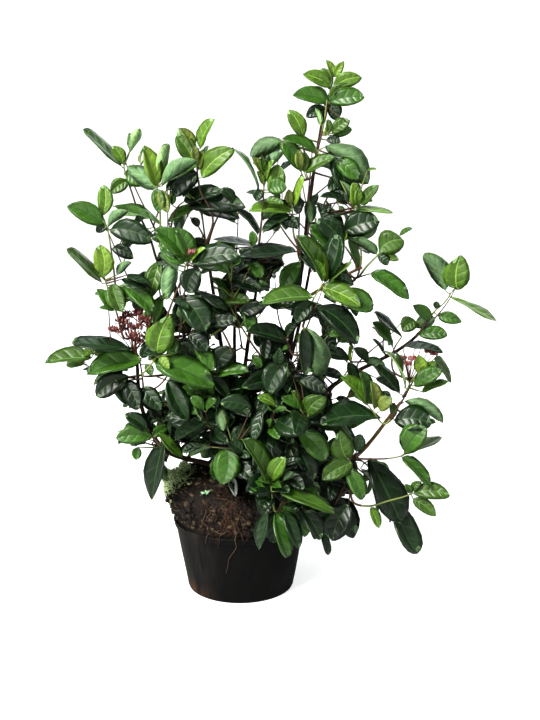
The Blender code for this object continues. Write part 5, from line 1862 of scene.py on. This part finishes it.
def leaf_frame(spot, direction, azimuth, lean, sag):
    """Axes of a leaf: X along its midrib from the twig, Z out of its upper face, to the light."""
    side = direction.orthogonal().normalized()
    side = Matrix.Rotation(azimuth, 3, direction) @ side
    outwards = Vector((spot.x - CROWN_AXIS[0], spot.y - CROWN_AXIS[1], 0)).normalized()
    midrib = direction * math.cos(lean) + side * math.sin(lean)
    midrib = (midrib + outwards * sag * 0.6 - UP * sag).normalized()
    face = direction * 0.25 + UP * 0.55 + outwards * 0.75
    face = (face - midrib * face.dot(midrib)).normalized()
    return Matrix.Translation(spot) @ axes(midrib, face)


def along(points, distance):
    """The point and direction at a distance back from the end of a line of points."""
    lengths = arc_lengths(points)
    target = lengths[-1] - distance
    for index in range(len(points) - 1):
        if target <= lengths[index + 1]:
            span = lengths[index + 1] - lengths[index]
            share = max(0.0, (target - lengths[index]) / span)
            direction = (points[index + 1] - points[index]).normalized()
            return points[index].lerp(points[index + 1], share), direction
    return points[-1], (points[-1] - points[-2]).normalized()


# %% Deal ages and grow pairs
LEAF_LENGTH = 70 * MM
PAIR_SIZES = (0.46, 0.74, 0.94, 1.0, 1.0, 0.96, 0.92, 0.88)
PAIR_LEANS = (28, 46, 60, 68, 74, 78, 80, 82)
FIRST_PAIR = 3 * MM
MOST_BARE = 0.15
STALK_SHARE = 0.13
MOST_BARE_SHOOT = 0.3
LAST_PAIR = 0.92
KEEP_INSIDE = 15 * MM
TWIG_RADII = (0.95 * MM, 0.6 * MM)
AGE_STEP = 1.1
AGE_SPREAD = 0.7
AGE_DIM = 0.4
TRIES = ((0, 1), (20, 1), (-20, 1), (40, 0.92), (-40, 0.92), (0, 0.75), (65, 0.7), (-65, 0.7), (90, 0.62),
         (-90, 0.62))
BRIGHT = {
    "foliage_crown": 1.4, "foliage_right_tip": 1.8, "foliage_right_low": 1.5, "foliage_right_buds": 1.2,
    "foliage_right_upper": 1.3, "foliage_left_upright": 1.2, "foliage_left_tip": 0.9,
    "foliage_left_crown": 1.2, "foliage_front_low": 0.6, "foliage_leader_left": 1.0,
    "foliage_leader_right": 0.8, "foliage_left_far": 0.6, "foliage_shoulder": 0.4,
    "foliage_left_buds": 0.8, "foliage_right_front": 0.8, "foliage_left_edge": 0.8,
    "foliage_left_high": 0.8, "foliage_back_left_top": 0.8, "foliage_back_right_top": 0.8,
    "foliage_back_mid_top": 0.8, "foliage_right_hang": -0.6, "foliage_right_foot": -0.5,
}


def age_of(pair, brightness, rng):
    """The youngest leaves are brightest; a spray's own brightness shifts all of its leaves."""
    level = FRESH - AGE_STEP * pair + brightness + rng.uniform(-AGE_SPREAD, AGE_SPREAD) - AGE_DIM
    return int(min(max(round(level), OLDEST), TENDER))


def grow_leaf(region, spot, direction, azimuth, lean, sag, length, pair, brightness, rng, partner):
    """Tries a leaf at a few turns; if one fits, its blade and its stalk are kept."""
    for turn, cut in TRIES:
        matrix = leaf_frame(spot, direction, azimuth + math.radians(turn), lean, sag)
        size = length * cut
        blade = matrix @ Matrix.Translation((size * STALK_SHARE, 0, 0))
        rough = rough_leaf(blade, size)
        if fits(rough, partner) and may_show(rough):
            put(rough)
            pattern = blades[rng.randrange(len(blades))]
            stretch = Matrix.Diagonal((size, size * rng.uniform(0.88, 1.10), size, 1))
            # Painted shade: a leaf seen in a thicket is dealt an older, darker age.
            age = age_of(pair, brightness - painted_shade_at(rough), rng)
            keep_leaf(region, spot, pattern, blade @ stretch, blade @ Vector((0.02 * size, 0, 0)), age)
            return rough
    return None


def grow_pair(name, line, pair, distance, size, brightness, rng, number):
    """One opposite pair at a distance below the shoot's tip; returns where it stands."""
    spot, direction = along(line, distance)
    first = rng.uniform(0, 40) if pair == 0 else rng.uniform(-20, 20)
    azimuth = math.radians(first + 90 * pair + 50 * number)
    low = max(0.0, 1 - (spot.z - 0.12) / 0.30)
    partner = None
    for half in (0, 1):
        length = LEAF_LENGTH * size * PAIR_SIZES[pair] * rng.uniform(0.86, 1.14)
        lean = math.radians(PAIR_LEANS[pair] + rng.uniform(-9, 9))
        sag = rng.uniform(0.0, 0.18) + LEAF_SAG * min(pair, 3) * 0.8 + 0.25 * low
        rough = grow_leaf(region_of(name), spot, direction, azimuth + math.pi * half, lean, sag,
                          length, pair, brightness, rng, partner)
        partner = rough or partner
    return spot, direction, azimuth, partner is not None


def bare_share(line):
    """The share of a twig that the camera would see against the sky."""
    seen = [seen_at(point) for point in line]
    seen = [(int(v), int(u)) for u, v in seen if 0 <= u < PHOTO_SIZE[0] and 0 <= v < PHOTO_SIZE[1]]
    return sum(not leafy[pixel] for pixel in seen) / max(len(seen), 1)


def grow_twig(name, spot, direction, azimuth, length, size, brightness, rng, pairs):
    """A side twig out of a leaf's axil, with its own small pairs."""
    side = Matrix.Rotation(azimuth, 3, direction) @ direction.orthogonal().normalized()
    out = (direction * 0.7 + side * 0.8).normalized()
    tip = spot + (out + UP * 0.25).normalized() * length
    line = shoot_curve(spot, out, tip)
    if not clears_limbs(line) or bare_share(line) > MOST_BARE:
        return False
    low, high = cad_box
    if not all(low[axis] + KEEP_INSIDE < tip[axis] < high[axis] - KEEP_INSIDE for axis in range(3)):
        return False
    number = rng.randrange(4)
    grown = False
    for pair in range(pairs):
        distance = FIRST_PAIR + pair * INTERNODE * 0.55
        if distance < length * 0.85:
            grown = grow_pair(name, line, pair, distance, size, brightness, rng, number)[3] or grown
    if grown:
        twig_paths.setdefault(region_of(name), []).append((line, taper(line, *TWIG_RADII), 0))
    return grown


# %% Main pairs, tip by tip
nodes = []
for pair in range(len(PAIR_SIZES)):
    for number, (name, line, kind) in enumerate(shoots):
        rng = random.Random(f"{SEED} {name} {number} {pair}")
        distance = FIRST_PAIR + INTERNODE * (0.55 * pair if pair < 3 else 1.1 + 0.78 * (pair - 2))
        if kind == "side" and not drawn[number] and bare_share(line) > MOST_BARE_SHOOT:
            continue
        if distance < arc_lengths(line)[-1] * LAST_PAIR:
            size = MASSES[name][3]
            *found, grown = grow_pair(name, line, pair, distance, size, BRIGHT.get(name, 0.0), rng, number)
            nodes.append((name, number, pair, *found))
            if grown:
                hold(number, found[0])
print("leaves with the main pairs:", sum(len(copies) for copies in leaf_copies.values()))


# %% Side twigs from the axils
TWIG_CHANCE = 0.7
TWIG_LENGTHS = (20, 46)
TWIG_LEAVES = 0.92
TWIG_DIM = 0.4
twigs_grown = 0
for index, (name, number, pair, spot, direction, azimuth) in enumerate(nodes):
    rng = random.Random(f"{SEED} twig {index}")
    for half in (0, 1):
        if pair >= 2 and rng.random() < TWIG_CHANCE:
            length = rng.uniform(*TWIG_LENGTHS) * MM
            if grow_twig(name, spot, direction, azimuth + math.pi * half, length,
                         MASSES[name][3] * TWIG_LEAVES, BRIGHT.get(name, 0.0) - TWIG_DIM, rng, 2):
                twigs_grown += 1
                hold(number, spot)
leads = {name: number for number, (name, _, kind) in enumerate(shoots) if kind == "lead"}
for number, (name, line, kind) in enumerate(shoots):
    if kind == "side" and drawn[number]:
        hold(leads[name], line[0])
for number, (name, line, kind) in enumerate(shoots):
    if drawn[number]:
        wood = taper(line, TWIG_BASE if kind == "lead" else TWIG_BASE * 0.85, TWIG_TIP)
        count = sum(length < drawn[number] + 0.1 * MM for length in arc_lengths(line))
        twig_paths.setdefault(region_of(name), []).append((line[:count], wood[:count], 1))
print("side twigs:", twigs_grown, "bare shoots left out:", drawn.count(0.0))


# %% Spurs on the stems
SPUR_SPACING = 15 * MM
FIRST_SPUR = 12 * MM
BARE_END = 25 * MM
SPUR_LENGTHS = (14, 70)
spurs_grown = 0
for name, (points, _) in limbs.items():
    lengths = arc_lengths(points)
    rng = random.Random(f"{SEED} spur {name}")
    distance = FIRST_SPUR
    turn = 0
    while distance < lengths[-1] - BARE_END:
        spot, direction = along(points, distance)
        inner = max(0.0, 1 - (spot.z - 0.2) / 0.35)
        for half in (0, 1):
            reach = rng.uniform(*SPUR_LENGTHS) * MM
            if rng.random() < 0.45 + 0.5 * inner:
                azimuth = math.pi / 2 * turn + math.pi * half + rng.uniform(-0.3, 0.3)
                spurs_grown += grow_twig(name, spot, direction, azimuth, reach, 0.98,
                                         -0.9 - 0.8 * inner, rng, 3)
        turn += 1
        distance += SPUR_SPACING * rng.uniform(0.8, 1.2)
print("spurs:", spurs_grown, "leaves:", sum(len(copies) for copies in leaf_copies.values()))


# %% Join leaves and twigs, region by region
leaf_materials = [*ages, *midribs, *undersides]
for region, copies in leaf_copies.items():
    masses = [name for name in MASSES if region_of(name) == region]
    leaves = joined("leaves_" + region, copies, leaf_materials)
    hand_over(leaves, "foliage", *masses)
    twigs = strands("twigs_" + region, twig_paths[region], [green_twig_finish, red_twig_finish], sides=2)
    hand_over(twigs, "bark")
    barks = [green_twig_finish, red_twig_finish]
    stalks = strands("leaf_stalks_" + region, stalk_paths[region], barks, sides=1)
    hand_over(stalks, "foliage")


# %% [markdown]
# ## Flower buds
# The shrub carries its winter buds in flat heads. Each head is a flat fan of reddish rays, each ray
# forks again, and every fork ends in a few closed buds, oval and dark red, some of them turning pink.


# %% Heads of buds
# depth as Y in millimetres, the pixel of the fork, the pixels of the clusters, their spread, share of pink
BUD_HEADS = {
    "left": (-74, (134, 353), ((115, 328), (122, 319), (129, 313), (137, 311), (145, 318), (152, 323),
                               (147, 334), (139, 338), (127, 326), (136, 325), (132, 333)), 8.5, 0.20),
    "right": (-100, (409, 383), ((403, 358), (408, 363), (412, 358), (415, 346), (421, 346), (428, 350),
                                 (434, 353)), 4.2, 0.45),
    "left front": (-106, (187, 262), ((188, 253), (192, 251), (185, 255)), 3.2, 0.65),
}
BUDS_IN_CLUSTER = 42
BUD_SIZES = (1.0, 1.7)
# radii along the stem of a head, along a ray, and along the short stalk of a bud
HEAD_RADII = (1.1 * MM, 1.0 * MM)
RAY_RADII = (0.9 * MM, 0.7 * MM, 0.55 * MM)
BUD_STALK_RADII = (0.4 * MM, 0.32 * MM, 0.28 * MM)
model = start_piece("bud", bpy.ops.mesh.primitive_uv_sphere_add, segments=6, ring_count=5, radius=1)
edit(model)
pick(model, lambda corner: corner.co.z > 0.3)
bpy.ops.transform.resize(value=(0.75, 0.75, 1.25), center_override=(0, 0, 0))
done(model)
bpy.ops.object.shade_smooth()
bud_pattern = Pattern(model)

buds = []
rays = []
for name, (depth, fork_pixel, clusters, spread, pinkness) in BUD_HEADS.items():
    rng = random.Random(f"{SEED} buds {name}")
    fork = from_photo(*fork_pixel, depth * MM)
    carrier = min((c for c, _ in carriers), key=lambda c: (c - fork).length)
    if (carrier - fork).length > 1 * MM:
        rays.append(((carrier, fork), HEAD_RADII, 0))
    for u, v in clusters:
        middle = from_photo(u, v, (depth + rng.uniform(-12, 12)) * MM)
        knee = fork.lerp(middle, 0.55) + (middle - fork).cross(UP) * rng.uniform(-0.15, 0.15)
        below = middle - UP * spread * 0.6 * MM
        rays.append(((fork, knee, below), RAY_RADII, 0))
        for _ in range(BUDS_IN_CLUSTER):
            aim = Vector([rng.uniform(-1, 1), rng.uniform(-1, 1), rng.uniform(-0.2, 0.7)])
            tip = below + aim * spread * MM
            rays.append(((below, below.lerp(tip, 0.6) - UP * 0.5 * MM, tip), BUD_STALK_RADII, 0))
            upright = (aim * 0.5 + UP).normalized()
            size = rng.uniform(*BUD_SIZES) * MM
            stretch = Matrix.Diagonal((size, size, size * 1.5, 1))
            place = Matrix.Translation(tip + upright * size) @ standing(upright) @ stretch
            buds.append((bud_pattern, place, (1 if rng.random() < pinkness else 0,)))
bud_clusters = joined("flower_buds", buds, [bud_red_finish, bud_pink_finish])
hand_over(bud_clusters, "foliage")
bud_rays = strands("flower_bud_rays", rays, [stalk_finish], sides=2)
hand_over(bud_rays, "foliage")


# %% [markdown]
# ## Small things on the peat
# A seedling has come up in the peat near the rim, a silvery dead leaf lies beside it, a few long roots
# hang down over the pot, and a cushion of moss grows at the top on the left. All are placed by the pixels
# at which they show: a ray from the camera finds the peat or the pot's wall there, so they rest on it. The
# moss is a heap of tiny cones over two low mounds.


# %% A seedling and a fallen leaf
SEEDLING_PIXEL = (206, 495)
SEEDLING_LEAVES = 7
FALLEN_PIXELS = ((232, 481), (236, 498))
FALLEN_WIDTH = 15 * MM
FALLEN_LIFT = 3


def peat_seen_at(u, v):
    """The place and the normal of the peat that shows at a pixel."""
    aim = (from_photo(u, v, 0) - CAMERA_PLACE).normalized()
    place, normal, _, _ = ball_surface.ray_cast(CAMERA_PLACE, aim)
    return place, normal


spot, normal = peat_seen_at(*SEEDLING_PIXEL)
rosette = []
for index in range(SEEDLING_LEAVES):
    azimuth = 2.4 * index
    lean = math.radians(62 - 7 * index)
    size = (9.5 - 0.7 * index) * MM
    frame_of_leaf = leaf_frame(spot + normal * 0.8 * MM, (normal + UP).normalized(), azimuth, lean, 0.0)
    stretch = Matrix.Diagonal((size, size * 0.95, size, 1))
    rosette.append((blades[index % 3], frame_of_leaf @ stretch, (0, 0, 0)))
seedling = joined("seedling_leaves", rosette, [weed_finish])
hand_over(seedling, "foliage")

base, normal = peat_seen_at(*FALLEN_PIXELS[0])
tip, tip_normal = peat_seen_at(*FALLEN_PIXELS[1])
midrib = (tip - base).normalized()
face = normal.lerp(tip_normal, 0.5)
face = (face - midrib * face.dot(midrib)).normalized()
upturned_blade = blades[5]
length = (tip - base).length
stretch = Matrix.Diagonal((length, FALLEN_WIDTH / LEAF_WIDTH, length, 1))
rest = Matrix.Translation(base + face * FALLEN_LIFT * MM) @ axes(midrib, face)
rest = rest @ straightened(upturned_blade) @ stretch
fallen = joined("fallen_leaf", [(upturned_blade, rest, (0, 0, 0))], [dry_leaf_finish])
hand_over(fallen, "soil")


# %% Roots that show one by one
LONE_ROOT_RADIUS = 0.65 * MM
ROOT_PIXELS = (
    ((231, 520), (236, 532), (235, 541), (236, 548), (229, 559), (228, 566), (226, 573)),
    ((203, 499), (206, 510), (204, 519), (199, 530)),
    ((222, 508), (233, 521), (240, 532), (243, 541)),
    ((214, 531), (222, 534), (229, 530)),
)


def on_wall(u, v):
    """The place on the pot's wall that shows at a pixel, a root's thickness off it."""
    place = from_photo(u, v, -RIM_RADIUS)
    for _ in range(4):
        on_rim = place.z > POT_HEIGHT - RIM_BAND - 3 * MM
        radius = (RIM_RADIUS if on_rim else wall_radius(max(place.z, 0))) + 1.5 * MM
        place = from_photo(u, v, -math.sqrt(max(radius ** 2 - place.x ** 2, 0)))
    return place


paths = []
for pixels in ROOT_PIXELS:
    points = []
    for u, v in pixels:
        near, normal = peat_seen_at(u, v)
        outer = on_wall(u, v)
        hangs = near is None or outer.z < POT_HEIGHT or near.y > outer.y
        points.append(outer if hangs else near + normal * 1.2 * MM)
    points = curve_through(points, 3 * MM)
    paths.append((points, thinning(points, LONE_ROOT_RADIUS, 0.6), 1))
lone_roots = strands("roots_hanging", paths, [root_red_finish, root_pale_finish], sides=3)
hand_over(lone_roots, "soil")


# %% A cushion of moss
# the pixel of each mound, its reach, its height and how many tufts it has
MOUNDS = (((174, 484), 18 * MM, 27 * MM, 3400), ((186, 474), 13 * MM, 25 * MM, 1700))
DARK_DENT = -0.65
DARK_TUFTS = 0.10
moss_dents = random.Random(f"{SEED} moss")
model = start_piece("tuft", bpy.ops.mesh.primitive_cone_add, vertices=4, radius1=1, radius2=0.25, depth=2.4,
                    location=(0, 0, 1.0))
done(model)
tuft_pattern = Pattern(model)
tufts = []
for pixel, reach, height, number in MOUNDS:
    middle, _ = peat_seen_at(*pixel)
    for _ in range(number):
        away = Vector([moss_dents.gauss(0, 0.55) for _ in range(3)])
        near, normal, _, _ = ball_surface.find_nearest(middle + away * reach)
        dent = math.sin(near.x * 650) * math.sin(near.y * 650 + near.z * 400)
        rise = height * max(0.0, 1 - ((near - middle).length / reach) ** 2) * (0.85 + 0.15 * dent)
        place = near + (normal + UP).normalized() * rise * (1 - 0.4 * moss_dents.random() ** 2)
        lean = (normal + Vector([moss_dents.uniform(-0.7, 0.7) for _ in range(3)])).normalized()
        size = moss_dents.uniform(0.6, 1.5) * MM
        scale = Matrix.Diagonal((size * 0.8, size * 0.8, size, 1))
        dark = 1 if dent < DARK_DENT or moss_dents.random() < DARK_TUFTS else 0
        tufts.append((tuft_pattern, Matrix.Translation(place) @ standing(lean) @ scale, (dark,)))
moss = joined("moss_cushion", tufts, [moss_finish, moss_dark_finish])
hand_over(moss, "soil")


# %% [markdown]
# ## Sizes, and the end
# Both boxes, of the solids and of the dressed plant, are printed side by side, in metres.


# %% Write the two boxes and finish
new_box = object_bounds()
for label, (low, high) in (("cad", cad_box), ("visual", new_box)):
    print(label, [round(value, 4) for value in (*low, *high)])
